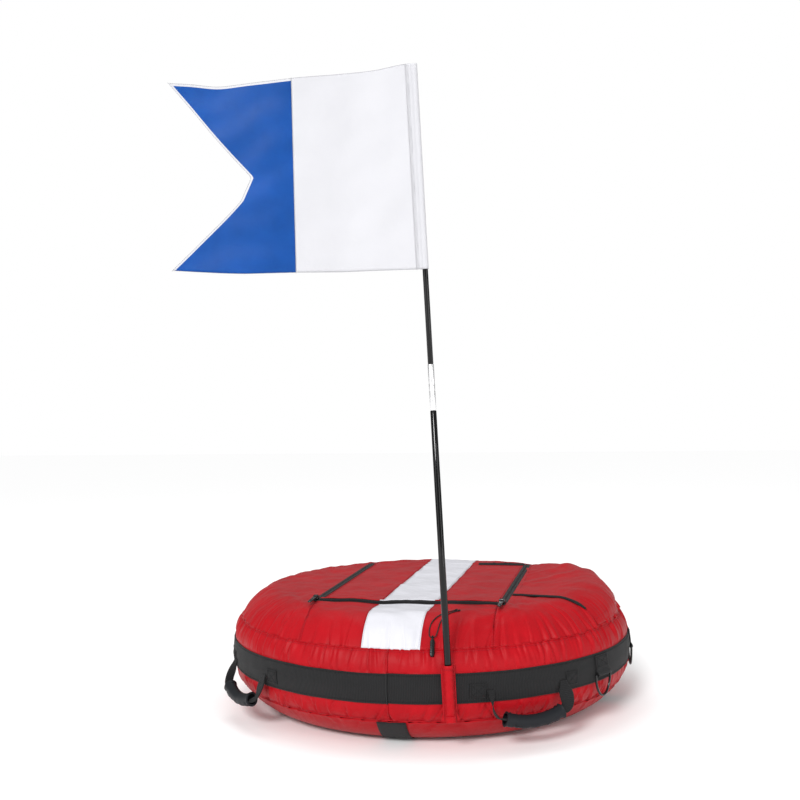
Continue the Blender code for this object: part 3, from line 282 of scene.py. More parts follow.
def get_material(key):
    """Each material is made once and then shared; a name that the frame already has gives the frame's own."""
    if key in bpy.data.materials:
        return bpy.data.materials[key]
    cover = settings("cover")
    makers = {
        # Coated woven nylon: satin, with pale light on the ridges of its folds
        "red_nylon": lambda: cloth_material(key, cover.red, 0.0011, 0.03, 0.46, 0.0012),
        # The same cloth in white: even, its folds seen as faint grey
        "white_nylon": lambda: cloth_material(key, cover.white, 0.0011, 0.03, 0.5, 0.0010, 0.015),
        # Woven polypropylene strap: dull black with upright ribs, their tops lighter by painted highlight
        "woven_polypropylene": lambda: webbing_material(key, settings("trim").black),
        # Fine knitted zip tape: dull, almost plain
        "knitted_tape": lambda: webbing_material(key, "1B1B1C", 0.0009),
        # Moulded acetal teeth: a small bright point on each
        "moulded_acetal": lambda: hard_material(key, "161617", 0.3, 0.002, 0.00004),
        # Die-cast zinc or bent wire under baked enamel: smooth black with clear highlights
        "enamelled_metal": lambda: hard_material(key, "141415", 0.22, 0.003, 0.00003, 0.4),
        # Moulded ABS with a finely blasted face: black, with soft highlights
        "moulded_abs": lambda: hard_material(key, "19191A", 0.34, 0.0016, 0.00005),
        # Moulded thermoplastic rubber: dark blue-grey, dull, brighter where it is handled
        "moulded_rubber": lambda: hard_material(key, "191B1F", 0.5, 0.0012, 0.00006),
        # Butyl rubber: dull black with a slightly pebbled skin
        "butyl_rubber": lambda: hard_material(key, "1D1D1E", 0.55, 0.004, 0.0001),
        # Pultruded glass fibre under clear lacquer: deep black with a long thin highlight
        "lacquered_glass_fibre": lambda: hard_material(key, "0A0A0B", 0.10, 0.004, 0.00001, 0.3,
                                                       (1, 1, 0.05)),
        # Thin polyester flag cloth in its two colours: a fine weave with a satin sheen
        "white_polyester": lambda: flag_material(key, "C2C2C6"),
        # The blue's strong paler patches are painted reflections of its satin sheen
        "blue_polyester": lambda: flag_material(key, settings("flag").blue, 0.14),
        # Braided polyester cord: dull black with crossed strands
        "braided_polyester": lambda: webbing_material(key, "1E1E1F", 0.0010),
        # Spun polyester sewing thread: a dull twist, in the colour of what it sews
        "red_thread": lambda: webbing_material(key, "B0192A", 0.0005),
        "white_thread": lambda: webbing_material(key, "D6D6DA", 0.0005),
        "black_thread": lambda: webbing_material(key, "101011", 0.0005),
    }
    return makers[key]()


def dress(piece, body="float", *nodes):
    """Puts a piece on its body, in place of the nodes that it stands for."""
    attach(piece, body)
    if nodes:
        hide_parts(*nodes)
    return piece


# Meshes

def mesh_object(name, points, faces, keys, uvs=None, picks=None):
    """A plain mesh object at the origin, with flat UVs per face corner if they are given."""
    mesh = bpy.data.meshes.new(name)
    mesh.from_pydata([tuple(p) for p in points], [], [tuple(f) for f in faces])
    for key in [keys] if isinstance(keys, str) else keys:
        mesh.materials.append(get_material(key))
    if uvs is not None:
        mesh.uv_layers.new(name="UVMap").data.foreach_set("uv", np.asarray(uvs, np.float32).reshape(-1))
    if picks is not None:
        mesh.polygons.foreach_set("material_index", np.asarray(picks, np.int32))
    mesh.shade_smooth()
    return put_in_scene(name, mesh)


def put_in_scene(name, data):
    obj = bpy.data.objects.new(name, data)
    bpy.context.scene.collection.objects.link(obj)
    return obj


def clamp(x):
    return np.clip(x, 0, 1)


def bell(x, width):
    """A rounded hump, 1 at its middle."""
    return np.exp(-(x / width) ** 2)


def stacked(*parts):
    """Points, or UVs, from arrays of their parts."""
    return np.stack(np.broadcast_arrays(*parts), axis=-1)


def circle(count):
    return np.linspace(0, 2 * pi, count, endpoint=False)


def arc(radius, start, end, count, z):
    """Points on a level arc, from one angle in degrees to another."""
    turn = np.linspace(radians(start), radians(end), count)
    return stacked(radius * np.cos(turn), radius * np.sin(turn), z)


def path_lengths(points):
    """How far along a path each of its points lies."""
    return np.concatenate([[0], np.cumsum(np.linalg.norm(np.diff(points, axis=0), axis=1))])


def grid_object(name, points, keys, closed=False, uv=None, picks=None, flip=False):
    """A sheet of quads through an array of rows and columns, with UVs in metres of cloth."""
    points = np.asarray(points, float)
    rows, columns = points.shape[:2]
    around = columns if closed else columns - 1
    if uv is None:
        wrapped = np.concatenate([points, points[:, :1]], axis=1) if closed else points
        down = np.linalg.norm(np.diff(wrapped, axis=0), axis=2)
        v = np.concatenate([np.zeros((1, wrapped.shape[1])), np.cumsum(down, axis=0)])
        uv = stacked(path_lengths(wrapped[rows // 2]), v)
    i, j = np.meshgrid(np.arange(rows - 1), np.arange(around), indexing="ij")
    k = (j + 1) % columns
    corners = [i * columns + j, (i + 1) * columns + j, (i + 1) * columns + k, i * columns + k]
    places = [uv[i, j], uv[i + 1, j], uv[i + 1, j + 1], uv[i, j + 1]]
    if flip:
        corners, places = corners[::-1], places[::-1]
    faces = np.stack(corners, axis=2).reshape(-1, 4)
    loops = np.stack(places, axis=2).reshape(-1, 2)
    chosen = None if picks is None else np.asarray(picks)[i, j].reshape(-1)
    return mesh_object(name, points.reshape(-1, 3), faces.tolist(), keys, loops, chosen)


def ribbon(name, rows, key, thickness, offset=0, uv_turn=False):
    """A strip through rows of points, its UVs in metres along and across it."""
    rows = np.asarray(rows, float)
    along, across = path_lengths(rows.mean(axis=1))[:, None], path_lengths(rows[len(rows) // 2])[None, :]
    uv = stacked(across, along) if uv_turn else stacked(along, across)
    return thicken(grid_object(name, rows, key, uv=uv), thickness, offset)


def thicken(obj, thickness, offset=-1):
    shell = obj.modifiers.new("thickness", "SOLIDIFY")
    shell.thickness = thickness
    shell.offset = offset
    return obj


def flat_cloth(name, points, key, thickness=CLOTH, offset=-1):
    """A sheet of cloth that lies nearly level, its UVs taken from above."""
    return thicken(grid_object(name, points, key, uv=points[..., :2]), thickness, offset)


def outward(obj, fill=False):
    """Merges doubles, or fills open ends, and points every face outwards."""
    bm = bmesh.new()
    bm.from_mesh(obj.data)
    if fill:
        bmesh.ops.holes_fill(bm, edges=[edge for edge in bm.edges if edge.is_boundary], sides=0)
    else:
        bmesh.ops.remove_doubles(bm, verts=bm.verts, dist=1e-6)
    bmesh.ops.recalc_face_normals(bm, faces=bm.faces)
    bm.to_mesh(obj.data)
    bm.free()
    if not fill:
        obj.data.shade_smooth()
    return obj


def outward_from_middle(obj):
    """Turns an open strip round the rim so that its faces look away from the middle."""
    centre = Vector((0, 0, RIM_HEIGHT))
    if sum((face.center - centre).dot(face.normal) for face in obj.data.polygons) < 0:
        obj.data.flip_normals()
    return obj


def moved(points, place):
    """Points in a piece's own frame, put in the float's frame."""
    return np.asarray(points, float) @ np.array(place.to_3x3()).T + np.array(place.translation)


def facing(place, x, y, z):
    """A direction in a piece's own frame, as the float's frame has it."""
    return tuple(place.to_3x3() @ Vector((x, y, z)))


def rim_place(angle, radius=0.0, height=0.0):
    """A frame at the rim: X runs along the rim, Y points to the middle and Z up."""
    return Matrix.Rotation(angle, 4, "Z") @ Matrix.Translation((0, -radius, height))


def eased(x, table, width):
    """The value along a table, with its corners rounded off."""
    return np.mean([np.interp(x + off, *table) for off in np.linspace(-width, width, 9)], axis=0)


def smooth_line(points, count):
    """Points evenly spaced on a smooth curve through the given ones."""
    points = np.asarray(points, float)
    padded = np.concatenate([[2 * points[0] - points[1]], points, [2 * points[-1] - points[-2]]])
    fine = [(2 * b + (c - a) * t + (2 * a - 5 * b + 4 * c - d) * t * t + (3 * b - a - 3 * c + d) * t ** 3) / 2
            for a, b, c, d in zip(padded, padded[1:], padded[2:], padded[3:])
            for t in np.linspace(0, 1, 24, endpoint=False)]
    fine = np.array(fine + [points[-1]])
    reach = path_lengths(fine[:, :3])
    goals = np.linspace(0, reach[-1], count)
    return np.stack([np.interp(goals, reach, fine[:, k]) for k in range(fine.shape[1])], axis=1)


def tube_points(path, radii, sides, up=UP):
    """Rings of points along a path."""
    path = np.asarray(path, float)
    radii = np.broadcast_to(radii, len(path))
    tangents = np.gradient(path, axis=0)
    tangents /= np.linalg.norm(tangents, axis=1)[:, None]
    side = np.cross(tangents, np.asarray(up, float))
    side /= np.linalg.norm(side, axis=1)[:, None]
    rise = np.cross(side, tangents)
    turn = circle(sides)[:, None]
    return path[:, None] + radii[:, None, None] * (side[:, None] * np.cos(turn)
                                                   + rise[:, None] * np.sin(turn))


def tube_object(name, path, radii, sides, key, up=UP, loop=False):
    """A round bar along a path, closed at both ends or joined into a ring."""
    rings = tube_points(path, radii, sides, up)
    if loop:
        rings = np.concatenate([rings, rings[:1]])
    else:
        ends = [np.broadcast_to(path[i], rings[:1].shape[1:])[None] for i in (0, -1)]
        rings = np.concatenate([ends[0], rings, ends[1]])
    return outward(grid_object(name, rings, key, closed=True))


def bar(half, y, z, radius, key, place, sides=8, up=UP):
    """A short round bar along X."""
    return tube_object("bar", moved([(-half, y, z), (half, y, z)], place), radius, sides, key, up)


def plate(outline, low, high, key, place, bevel):
    """A flat shape with an outline in X and Y, between two heights, with softened edges."""
    count = len(outline)
    points = moved([(x, y, z) for z in (low, high) for x, y in outline], place)
    faces = [tuple(range(count))[::-1], tuple(range(count, 2 * count))]
    faces += [(i, (i + 1) % count, count + (i + 1) % count, count + i) for i in range(count)]
    obj = outward(mesh_object("plate", points, faces, key))
    soft = obj.modifiers.new("soft_edges", "BEVEL")
    soft.width = bevel
    soft.segments = 3
    soft.limit_method = "ANGLE"
    return obj


def mirrored(half):
    """A closed outline from its right half, listed from the bottom to the top."""
    return list(half) + [(-x, y) for x, y in reversed(half)]


def two_blocks(across, along, up, place, bevel):
    """A metal block on the left and one on the right, each between its limits in X, Y and Z."""
    return [plate([(low, along[0]), (high, along[0]), (high, along[1]), (low, along[1])],
                  *up, METAL, place, bevel)
            for low, high in ((-across[1], -across[0]), across)]


def join_pieces(name, pieces):
    """One mesh from several, with their modifiers and materials kept."""
    graph = bpy.context.evaluated_depsgraph_get()
    bm = bmesh.new()
    materials = []
    for piece in pieces:
        mesh = bpy.data.meshes.new_from_object(piece.evaluated_get(graph), depsgraph=graph)
        material = piece.data.materials[0]
        if material not in materials:
            materials.append(material)
        mesh.polygons.foreach_set("material_index", [materials.index(material)] * len(mesh.polygons))
        bm.from_mesh(mesh)
        bpy.data.meshes.remove(mesh)
        bpy.data.objects.remove(piece)
    mesh = bpy.data.meshes.new(name)
    bm.to_mesh(mesh)
    bm.free()
    for material in materials:
        mesh.materials.append(material)
    mesh.shade_smooth()
    mesh.set_sharp_from_angle(angle=radians(45))
    return put_in_scene(name, mesh)


# The cover's form: flat top and bottom, with a crowned rim between them

def cover_point(turn, distance=0.0):
    """Radius and height on the cover at a turn up the rim, moved out along its normal."""
    def on_face(angle):
        flat = np.where(angle >= 0, TOP_FLAT_RADIUS, BOTTOM_FLAT_RADIUS)
        rise = np.where(angle >= 0, FLOAT_HEIGHT - RIM_HEIGHT, COVER_BOTTOM - RIM_HEIGHT)
        angle = np.minimum(np.abs(angle), pi / 2)
        reach = np.maximum(np.cos(angle), 0) ** (2 / CROWN_POWER)
        return flat + (FLOAT_RADIUS - flat) * reach, RIM_HEIGHT + rise * np.sin(angle) ** (2 / CROWN_POWER)

    turn = np.asarray(turn, float)
    radius, height = on_face(turn)
    before, after = on_face(turn - 0.004), on_face(turn + 0.004)
    run, rise = after[0] - before[0], after[1] - before[1]
    length = np.hypot(run, rise)
    edge = length < 1e-9
    length = np.where(edge, 1, length)
    out, up = np.where(edge, 0, rise / length), np.where(edge, np.sign(turn), -run / length)
    return radius + distance * out, height + distance * up


def band_radius(height):
    """The rim band's outer face, straight from its middle to each edge as the webbing lies."""
    edge, up = cover_point(np.where(np.asarray(height) >= RIM_HEIGHT, BAND_TOP_TURN, BAND_BOTTOM_TURN))
    return BAND_FACE + (edge - FLOAT_RADIUS) * (height - RIM_HEIGHT) / (up - RIM_HEIGHT)


def turn_at(height):
    """The turn up the rim that lies at a height."""
    rise = (FLOAT_HEIGHT if height >= RIM_HEIGHT else COVER_BOTTOM) - RIM_HEIGHT
    turn = asin(((height - RIM_HEIGHT) / rise) ** (CROWN_POWER / 2))
    return turn if height >= RIM_HEIGHT else -turn


def top_height(radius):
    share = clamp((radius - TOP_FLAT_RADIUS) / (FLOAT_RADIUS - TOP_FLAT_RADIUS))
    return RIM_HEIGHT + (FLOAT_HEIGHT - RIM_HEIGHT) * (1 - share ** CROWN_POWER) ** (1 / CROWN_POWER)


def over_top(x, y, distance=0.0):
    """Points a distance out from the top's face, over (x, y)."""
    radius = np.maximum(np.hypot(x, y), 1e-9)
    slope = (top_height(radius + 3e-4) - top_height(radius - 3e-4)) / 6e-4
    length = np.hypot(slope, 1)
    shift = slope / radius / length * distance
    return stacked(x - x * shift, y - y * shift, top_height(radius) + distance / length)


UPPER_TURN = turn_at(UPPER_SEAM_HEIGHT)
LOWER_TURN = turn_at(LOWER_SEAM_HEIGHT)
BAND_TOP_TURN = turn_at(RIM_HEIGHT + WEBBING_WIDTH / 2)
BAND_BOTTOM_TURN = turn_at(RIM_HEIGHT - WEBBING_WIDTH / 2)
SEAM_RADIUS = float(cover_point(UPPER_TURN)[0])
STRIPE_ANGLE = asin(HALF_STRIPE / SEAM_RADIUS)
CORNER_SEAMS = (CORNER_ANGLE, -CORNER_ANGLE, pi - CORNER_ANGLE, pi + CORNER_ANGLE)


def opening_keys():
    """Outer angles and the opening's points that they face, once round."""
    wide, front, back = OPENING_HALF_WIDTH, OPENING_FRONT, OPENING_BACK
    right = [(STRIPE_ANGLE, HALF_STRIPE, front), (CORNER_ANGLE, wide, front),
             (POCKET_START, wide, POCKET_SEAMS[0]), (POCKET_END, wide, POCKET_SEAMS[1]),
             (pi - CORNER_ANGLE, wide, back), (pi - STRIPE_ANGLE, HALF_STRIPE, back)]
    left = [(2 * pi - a, -x, y) for a, x, y in reversed(right)]
    return ([(left[-1][0] - 2 * pi,) + left[-1][1:]] + right + left
            + [(STRIPE_ANGLE + 2 * pi, HALF_STRIPE, front)])


KEYS = np.array(opening_keys())


def top_points(angles, shares, distance=0.0):
    """Points of the top between the opening's edge and the upper seam; shares by angles."""
    wrapped = np.where(angles > KEYS[-1, 0], angles - 2 * pi, angles)
    x, y = (np.interp(wrapped, KEYS[:, 0], KEYS[:, i]) for i in (1, 2))
    return over_top(x + (SEAM_RADIUS * np.sin(angles) - x) * shares,
                    y + (-SEAM_RADIUS * np.cos(angles) - y) * shares, distance)


def gathers(angle, along, seed, count, width, depth, ends, slant=0.0):
    """Cloth folds that run away from a seam: each a narrow crease beside a broader ridge."""
    picks = random.Random(seed)
    total = np.zeros(np.broadcast(angle, along).shape)
    share = (along - ends[0]) / (ends[1] - ends[0])
    for i in range(count):
        centre = 2 * pi * (i + picks.uniform(-0.45, 0.45)) / count
        wide = width * picks.uniform(0.5, 1.5) / FLOAT_RADIUS
        deep = depth * picks.uniform(0.25, 1.2)
        lean = slant * picks.uniform(-1, 1)
        reach = picks.uniform(0.45, 1.0)
        off = (angle - centre - lean * share + pi) % (2 * pi) - pi
        total += deep * clamp(1 - share / reach) ** 1.3 * (0.8 * bell(off - 0.9 * wide, wide)
                                                           - bell(off, 0.55 * wide))
    return total


def ripples(x, y, seed, length, depth):
    """Soft unevenness of the cloth: a sum of a few waves that run in random directions."""
    picks = random.Random(seed)
    total = np.zeros(np.broadcast(x, y).shape)
    for _ in range(9):
        turn, phase = picks.uniform(0, pi), picks.uniform(0, 2 * pi)
        pace = 2 * pi / (length * picks.uniform(0.55, 1.8))
        bend = 0.35 * np.sin(pace * 0.4 * (x * sin(turn) - y * cos(turn)) + phase * 2)
        total += np.sin(pace * (x * cos(turn) + y * sin(turn)) + phase + 3 * bend)
    return depth * total / 4


def front_sway(x, y):
    """The slow rise and fall of the cloth along the front zip, fading out in front and behind."""
    near = bell(y - OPENING_FRONT + 0.007, 0.04) * clamp((OPENING_HALF_WIDTH - np.abs(x)) / 0.03)
    return ripples(x, 0 * x, 54, 0.13, 0.0017) * near


def side_distance(angle, turn):
    """How far the side's cloth stands off its form: gathers at its seams, nothing under the band."""
    cover = settings("cover")
    depth, count, seed = cover.fold_depth, cover.fold_count, cover.seed
    upper = (UPPER_TURN - turn) / (UPPER_TURN - BAND_TOP_TURN)
    lower = (turn - LOWER_TURN) / (BAND_BOTTOM_TURN - LOWER_TURN)
    total = np.zeros(np.broadcast(angle, turn).shape)
    for share, shift, slant in ((upper, 0, 0.03), (lower, 20, 0.10)):
        share = clamp(share)
        folds = gathers(angle, share, seed + shift, count, 0.0054, depth * 1.25, (0, 1.7), slant)
        folds += gathers(angle, share, seed + shift + 1, int(count * 0.8), 0.0040, depth * 0.8,
                         (1, -0.3), slant)
        hold = clamp((1 - share) / 0.12) * (0.45 + 0.55 * clamp(share / 0.15))
        folds = (folds + 0.0022 * np.sin(pi * share)) * hold
        total += np.where((share > 0) | (shift == 0), folds, 0) * (share < 1)
    loose = ripples(angle * FLOAT_RADIUS, turn * 0.09, seed + 5, 0.05, 0.0008)
    return total + loose * (total != 0)


def top_distance(angle, share):
    """How far the top's cloth stands off its form between the zip and the upper seam."""
    cover = settings("cover")
    count, seed, depth = cover.fold_count, cover.seed, cover.fold_depth
    total = gathers(angle, share, seed + 40, int(count * 0.85), 0.0060, depth, (1, 0.48), 0.06)
    total += gathers(angle, share, seed + 41, int(count * 1.6), 0.0035, depth * 0.3, (0, 0.16))
    reach = FLOAT_RADIUS * (0.5 + share / 2)
    for shift, length, deep in ((42, 0.07, 0.0012), (43, 0.025, 0.0004)):
        total += ripples(reach * np.sin(angle), reach * np.cos(angle), seed + shift, length, deep)
    # The dip along the seams that run to the opening's corners
    for mark in CORNER_SEAMS:
        total -= 0.0012 * bell(((angle - mark + pi) % (2 * pi) - pi) * FLOAT_RADIUS, 0.0035)
    return total * (0.05 + 0.95 * clamp((share - 0.07) / 0.06))


def round_points(angle, radius, height):
    """Points on circles about the float's axis, the angle counted from the front."""
    return stacked(radius * np.sin(angle), -radius * np.cos(angle), height)


def side_points(angle, turn, lift=0.0):
    """Points of the side's cloth, raised by a lift."""
    return round_points(angle, *cover_point(turn, side_distance(angle, turn) + lift))


def band_points(angle, height, lift):
    """Points over the rim band's outer face."""
    return round_points(angle, band_radius(height) + lift, height)


def top_cloth(angles, shares, lift=0.0):
    """Points of the top's cloth with its folds."""
    points = top_points(angles, shares, top_distance(angles, shares) + lift)
    points[..., 2] += front_sway(points[..., 0], points[..., 1])
    return points


# Copies along a path, made by geometry nodes

def repeat_tree():
    """Copies of one object evenly spaced along paths, their X along the path and Z out of the surface."""
    tree = bpy.data.node_groups.new("copies_along_path", "GeometryNodeTree")
    tree.is_modifier = True
    for name, way, kind in (("Path", "INPUT", "Geometry"), ("Copy", "INPUT", "Object"),
                            ("Spacing", "INPUT", "Float"), ("Material", "INPUT", "Material"),
                            ("Copies", "OUTPUT", "Geometry")):
        tree.interface.new_socket(name=name, in_out=way, socket_type="NodeSocket" + kind)
    source = add_node(tree, "NodeGroupInput").outputs
    curve = add_node(tree, "GeometryNodeMeshToCurve", {}, {"Mesh": source["Path"]})
    spaced = add_node(tree, "GeometryNodeResampleCurve", {},
                      {"Curve": curve.outputs["Curve"], "Length": source["Spacing"]}, mode="LENGTH")
    tangent = add_node(tree, "GeometryNodeInputTangent")
    out = add_node(tree, "GeometryNodeInputNamedAttribute", {"Name": "out"}, data_type="FLOAT_VECTOR")
    along = add_node(tree, "FunctionNodeAlignRotationToVector", {}, {"Vector": tangent.outputs["Tangent"]},
                     axis="X")
    stood = add_node(tree, "FunctionNodeAlignRotationToVector", {},
                     {"Rotation": along.outputs["Rotation"], "Vector": out.outputs["Attribute"]},
                     axis="Z", pivot_axis="X")
    copy = add_node(tree, "GeometryNodeObjectInfo", {}, {"Object": source["Copy"]})
    placed = add_node(tree, "GeometryNodeInstanceOnPoints", {},
                      {"Points": spaced.outputs["Curve"], "Instance": copy.outputs["Geometry"],
                       "Rotation": stood.outputs["Rotation"]})
    real = add_node(tree, "GeometryNodeRealizeInstances", {}, {"Geometry": placed.outputs["Instances"]})
    dressed = add_node(tree, "GeometryNodeSetMaterial", {},
                       {"Geometry": real.outputs["Geometry"], "Material": source["Material"]})
    add_node(tree, "NodeGroupOutput", {}, {"Copies": dressed.outputs["Geometry"]})
    return tree


def repeat_along(name, paths, copy, spacing, key):
    """A plain mesh of copies along paths; each is its points, outward directions and True if it is closed."""
    points, outs, edges = [], [], []
    for line, out, *closed in paths:
        start, count = len(points), len(line)
        points += np.asarray(line, float).tolist()
        outs += np.broadcast_to(np.asarray(out, float), (count, 3)).tolist()
        edges += [(start + i, start + i + 1) for i in range(count - 1)]
        edges += [(start + count - 1, start)] if closed else []
    mesh = bpy.data.meshes.new(name + "_path")
    mesh.from_pydata(points, edges, [])
    out = mesh.attributes.new("out", "FLOAT_VECTOR", "POINT")
    out.data.foreach_set("vector", np.array(outs, np.float32).reshape(-1))
    obj = put_in_scene(name, mesh)
    tree = bpy.data.node_groups.get("copies_along_path") or repeat_tree()
    modifier = obj.modifiers.new("copies", "NODES")
    modifier.node_group = tree
    values = {"Copy": copy, "Spacing": spacing, "Material": get_material(key)}
    for item in tree.interface.items_tree:
        if item.name in values:
            modifier[item.identifier] = values[item.name]
    bpy.context.view_layer.update()
    graph = bpy.context.evaluated_depsgraph_get()
    plain = bpy.data.meshes.new_from_object(obj.evaluated_get(graph), depsgraph=graph)
    obj.modifiers.remove(modifier)
    obj.data = plain
    plain.name = name
    if "out" in plain.attributes:
        plain.attributes.remove(plain.attributes["out"])
    return obj


def small_copy(name, bars, sides):
    """A small shape for repeat_along, kept out of the scene: bars of four rings of points each."""
    faces = []
    for first in range(0, len(bars) * 4 * sides, 4 * sides):
        faces += [(a + j, a + (j + 1) % sides, a + sides + (j + 1) % sides, a + sides + j)
                  for a in range(first, first + 3 * sides, sides) for j in range(sides)]
        faces += [tuple(range(first + sides - 1, first - 1, -1)),
                  tuple(range(first + 3 * sides, first + 4 * sides))]
    mesh = bpy.data.meshes.new(name)
    mesh.from_pydata(np.reshape(bars, (-1, 3)).tolist(), [], faces)
    mesh.shade_smooth()
    return bpy.data.objects.new(name, mesh)


def sew(name, paths, thread, body="float"):
    """A row of stitches along each path, as one piece on one body."""
    trim = settings("trim")
    copy = bpy.data.objects.get("stitch")
    if copy is None:
        # One stitch: a short thread whose two ends go down into the cloth
        half, radius = trim.stitch_length * 0.41, trim.thread_radius
        turn = circle(5)
        copy = small_copy("stitch", [[stacked(x, radius * size * np.cos(turn),
                                              z + radius * size * np.sin(turn))
                                      for x, z, size in ((-half, -radius, 0.55),
                                                         (-half * 0.55, radius * 0.5, 1.0),
                                                         (half * 0.55, radius * 0.5, 1.0),
                                                         (half, -radius, 0.55))]], 5)
    row = outward(repeat_along(name, paths, copy, trim.stitch_length, thread + "_thread"))
    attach(row, body)


def ring_path(line):
    """A closed path for stitches round the float."""
    return line, line * (1, 1, 0) / np.linalg.norm(line[:, :2], axis=1)[:, None], True


# Pieces of the cover

class FLOAT_OT_side(bpy.types.Operator):
    """Makes the tall side strip, gathered at both seams, and the round bottom panel"""
    bl_idname = "float_build.side"
    bl_label = "Side and bottom cloth"

    def execute(self, context):
        # The rows are dense by the seams, and few where the band hides the cloth
        turns = np.concatenate([np.linspace(UPPER_TURN, BAND_TOP_TURN - 0.02, 20),
                                np.linspace(0.15, -0.15, 3),
                                np.linspace(BAND_BOTTOM_TURN + 0.02, LOWER_TURN, 17)])[:, None]
        side = grid_object("side_cloth", side_points(circle(1020), turns), "red_nylon", closed=True)
        dress(thicken(side, CLOTH), "float", "side_panel")
        self.bottom()
        self.seams()
        return {"FINISHED"}

    def bottom(self):
        cover, angles = settings("cover"), circle(540)
        turns = np.linspace(LOWER_TURN - 0.012, -pi / 2, 24)[:, None]
        share = (turns - turns[0]) / (turns[-1] - turns[0])
        far = gathers(angles, share, cover.seed + 60, int(cover.fold_count * 0.8), 0.006,
                      cover.fold_depth * 0.6, (0, 0.7), 0.12)
        far = (far + 0.0016 * bell(share, 0.05)) * clamp((1 - share) / 0.3)
        rim = round_points(angles, *cover_point(turns, np.maximum(far, -0.001)))
        flat = rim[-1] * (1, 1, 0) * np.linspace(1, 0, 12)[1:, None, None] + (0, 0, COVER_BOTTOM)
        points = np.concatenate([rim, flat])
        around = np.concatenate([points, points[:, :1]], axis=1)
        bottom = outward(grid_object("bottom_cloth", points, "red_nylon", closed=True, uv=around[:, :, :2]))
        dress(thicken(bottom, CLOTH), "float", "bottom_panel")

    def seams(self):
        """The narrow turned edge that stands at each round seam, and its stitches."""
        angles, paths = circle(900), []
        wander = ripples(angles * FLOAT_RADIUS, 0 * angles, 88, 0.018, 0.0005)
        for name, turn, sign in (("upper_seam_edge", UPPER_TURN, 1), ("lower_seam_edge", LOWER_TURN, -1)):
            base = side_distance(angles, turn)
            rows = [round_points(angles, *cover_point(turn + off * 0.9 * sign + wander, base + lift))
                    for off, lift in ((-0.010, 0.0001), (-0.007, 0.0009), (0.0, 0.0012), (0.007, 0.0009),
                                      (0.010, 0.0001))]
            dress(outward_from_middle(grid_object(name, rows[::-sign], "red_nylon", closed=True)))
            paths.append(ring_path(side_points(angles, turn - 0.035 * sign, STITCH_LIFT)))
        sew("round_seam_stitches", paths, "red")


class FLOAT_OT_band(bpy.types.Operator):
    """Makes the webbing round the rim and the webbing straps under the float"""
    bl_idname = "float_build.band"
    bl_label = "Rim band and bottom straps"

    def execute(self, context):
        angles = circle(720)
        shares = np.array([1, 0.96, 0.7, 0.35, 0, -0.35, -0.7, -0.96, -1])[:, None]
        turns = np.where(shares >= 0, shares * BAND_TOP_TURN, -shares * BAND_BOTTOM_TURN)
        wave = ripples(angles * FLOAT_RADIUS, 0 * angles, 31, 0.16, 0.005) * np.abs(shares)
        loose = ripples(angles * FLOAT_RADIUS, shares * 0.02, 32, 0.045, 0.0003)
        points = band_points(angles, cover_point(turns + wave)[1], 0.0002 + loose)
        dress(thicken(grid_object("rim_webbing", points, "woven_polypropylene", closed=True), 0.0014),
              "float", "rim_band")
        sew("band_stitches", [ring_path(band_points(angles, cover_point(turn * 0.88 + 0 * angles)[1], 0.0005))
                              for turn in (BAND_TOP_TURN, BAND_BOTTOM_TURN)], "black")
        self.join()
        for name, angle, stop in (("bottom_strap", 0.0, 0.0), ("bottom_strap_right", pi / 2, 0.027),
                                  ("bottom_strap_left", -pi / 2, 0.027)):
            self.strap(name, angle, stop)
        return {"FINISHED"}

    def join(self):
        """The upright seam just left of the pole, where the side strip and the band are joined."""
        off, rise = np.array(((-0.0022, 0), (-0.0012, 0.0009), (0.0, 0.0010), (0.0004, 0.0002))).T
        angles = off / FLOAT_RADIUS - 0.004
        for name, high, low, lift, key in (
                ("band_join", BAND_TOP_TURN, BAND_BOTTOM_TURN, 0.0024, "woven_polypropylene"),
                ("upper_join", UPPER_TURN, BAND_TOP_TURN + 0.01, 0.0004, "red_nylon"),
                ("lower_join", BAND_BOTTOM_TURN - 0.01, LOWER_TURN + 0.03, 0.0004, "red_nylon")):
            turns = np.linspace(high, low, 14)[:, None]
            far = np.maximum(side_distance(angles, turns), 0) + lift + rise
            dress(thicken(grid_object(name, round_points(angles, *cover_point(turns, far)), key), 0.0006))

    def strap(self, name, angle, stop):
        """Webbing from the lower seam to the middle, and on to the other side unless it stops there."""
        lifts = GAP + 0.0007 + 0.0022 * clamp(1 - np.arange(20) / 6)
        curved = np.stack(cover_point(np.linspace(LOWER_TURN - 0.012, -pi / 2, 20), lifts), axis=1)
        line = np.concatenate([curved, np.linspace(curved[-1], (stop, curved[-1, 1]), 10)[1:]])
        if not stop:
            line = np.concatenate([line, line[-2::-1] * (-1, 1)])
        x = np.linspace(-WEBBING_WIDTH / 2, WEBBING_WIDTH / 2, 9)
        radius, z = line.T[:, :, None]
        bent = -np.sign(radius) * np.sqrt(np.maximum(radius ** 2 - x * x, 0))
        points = stacked(x, np.where(np.abs(radius) > 0.2, bent, -radius), z)
        obj = grid_object(name + "_webbing", moved(points, rim_place(angle)), "woven_polypropylene",
                          uv=stacked(path_lengths(line)[:, None], x))
        dress(thicken(obj, 0.0012, 0), "float", name)


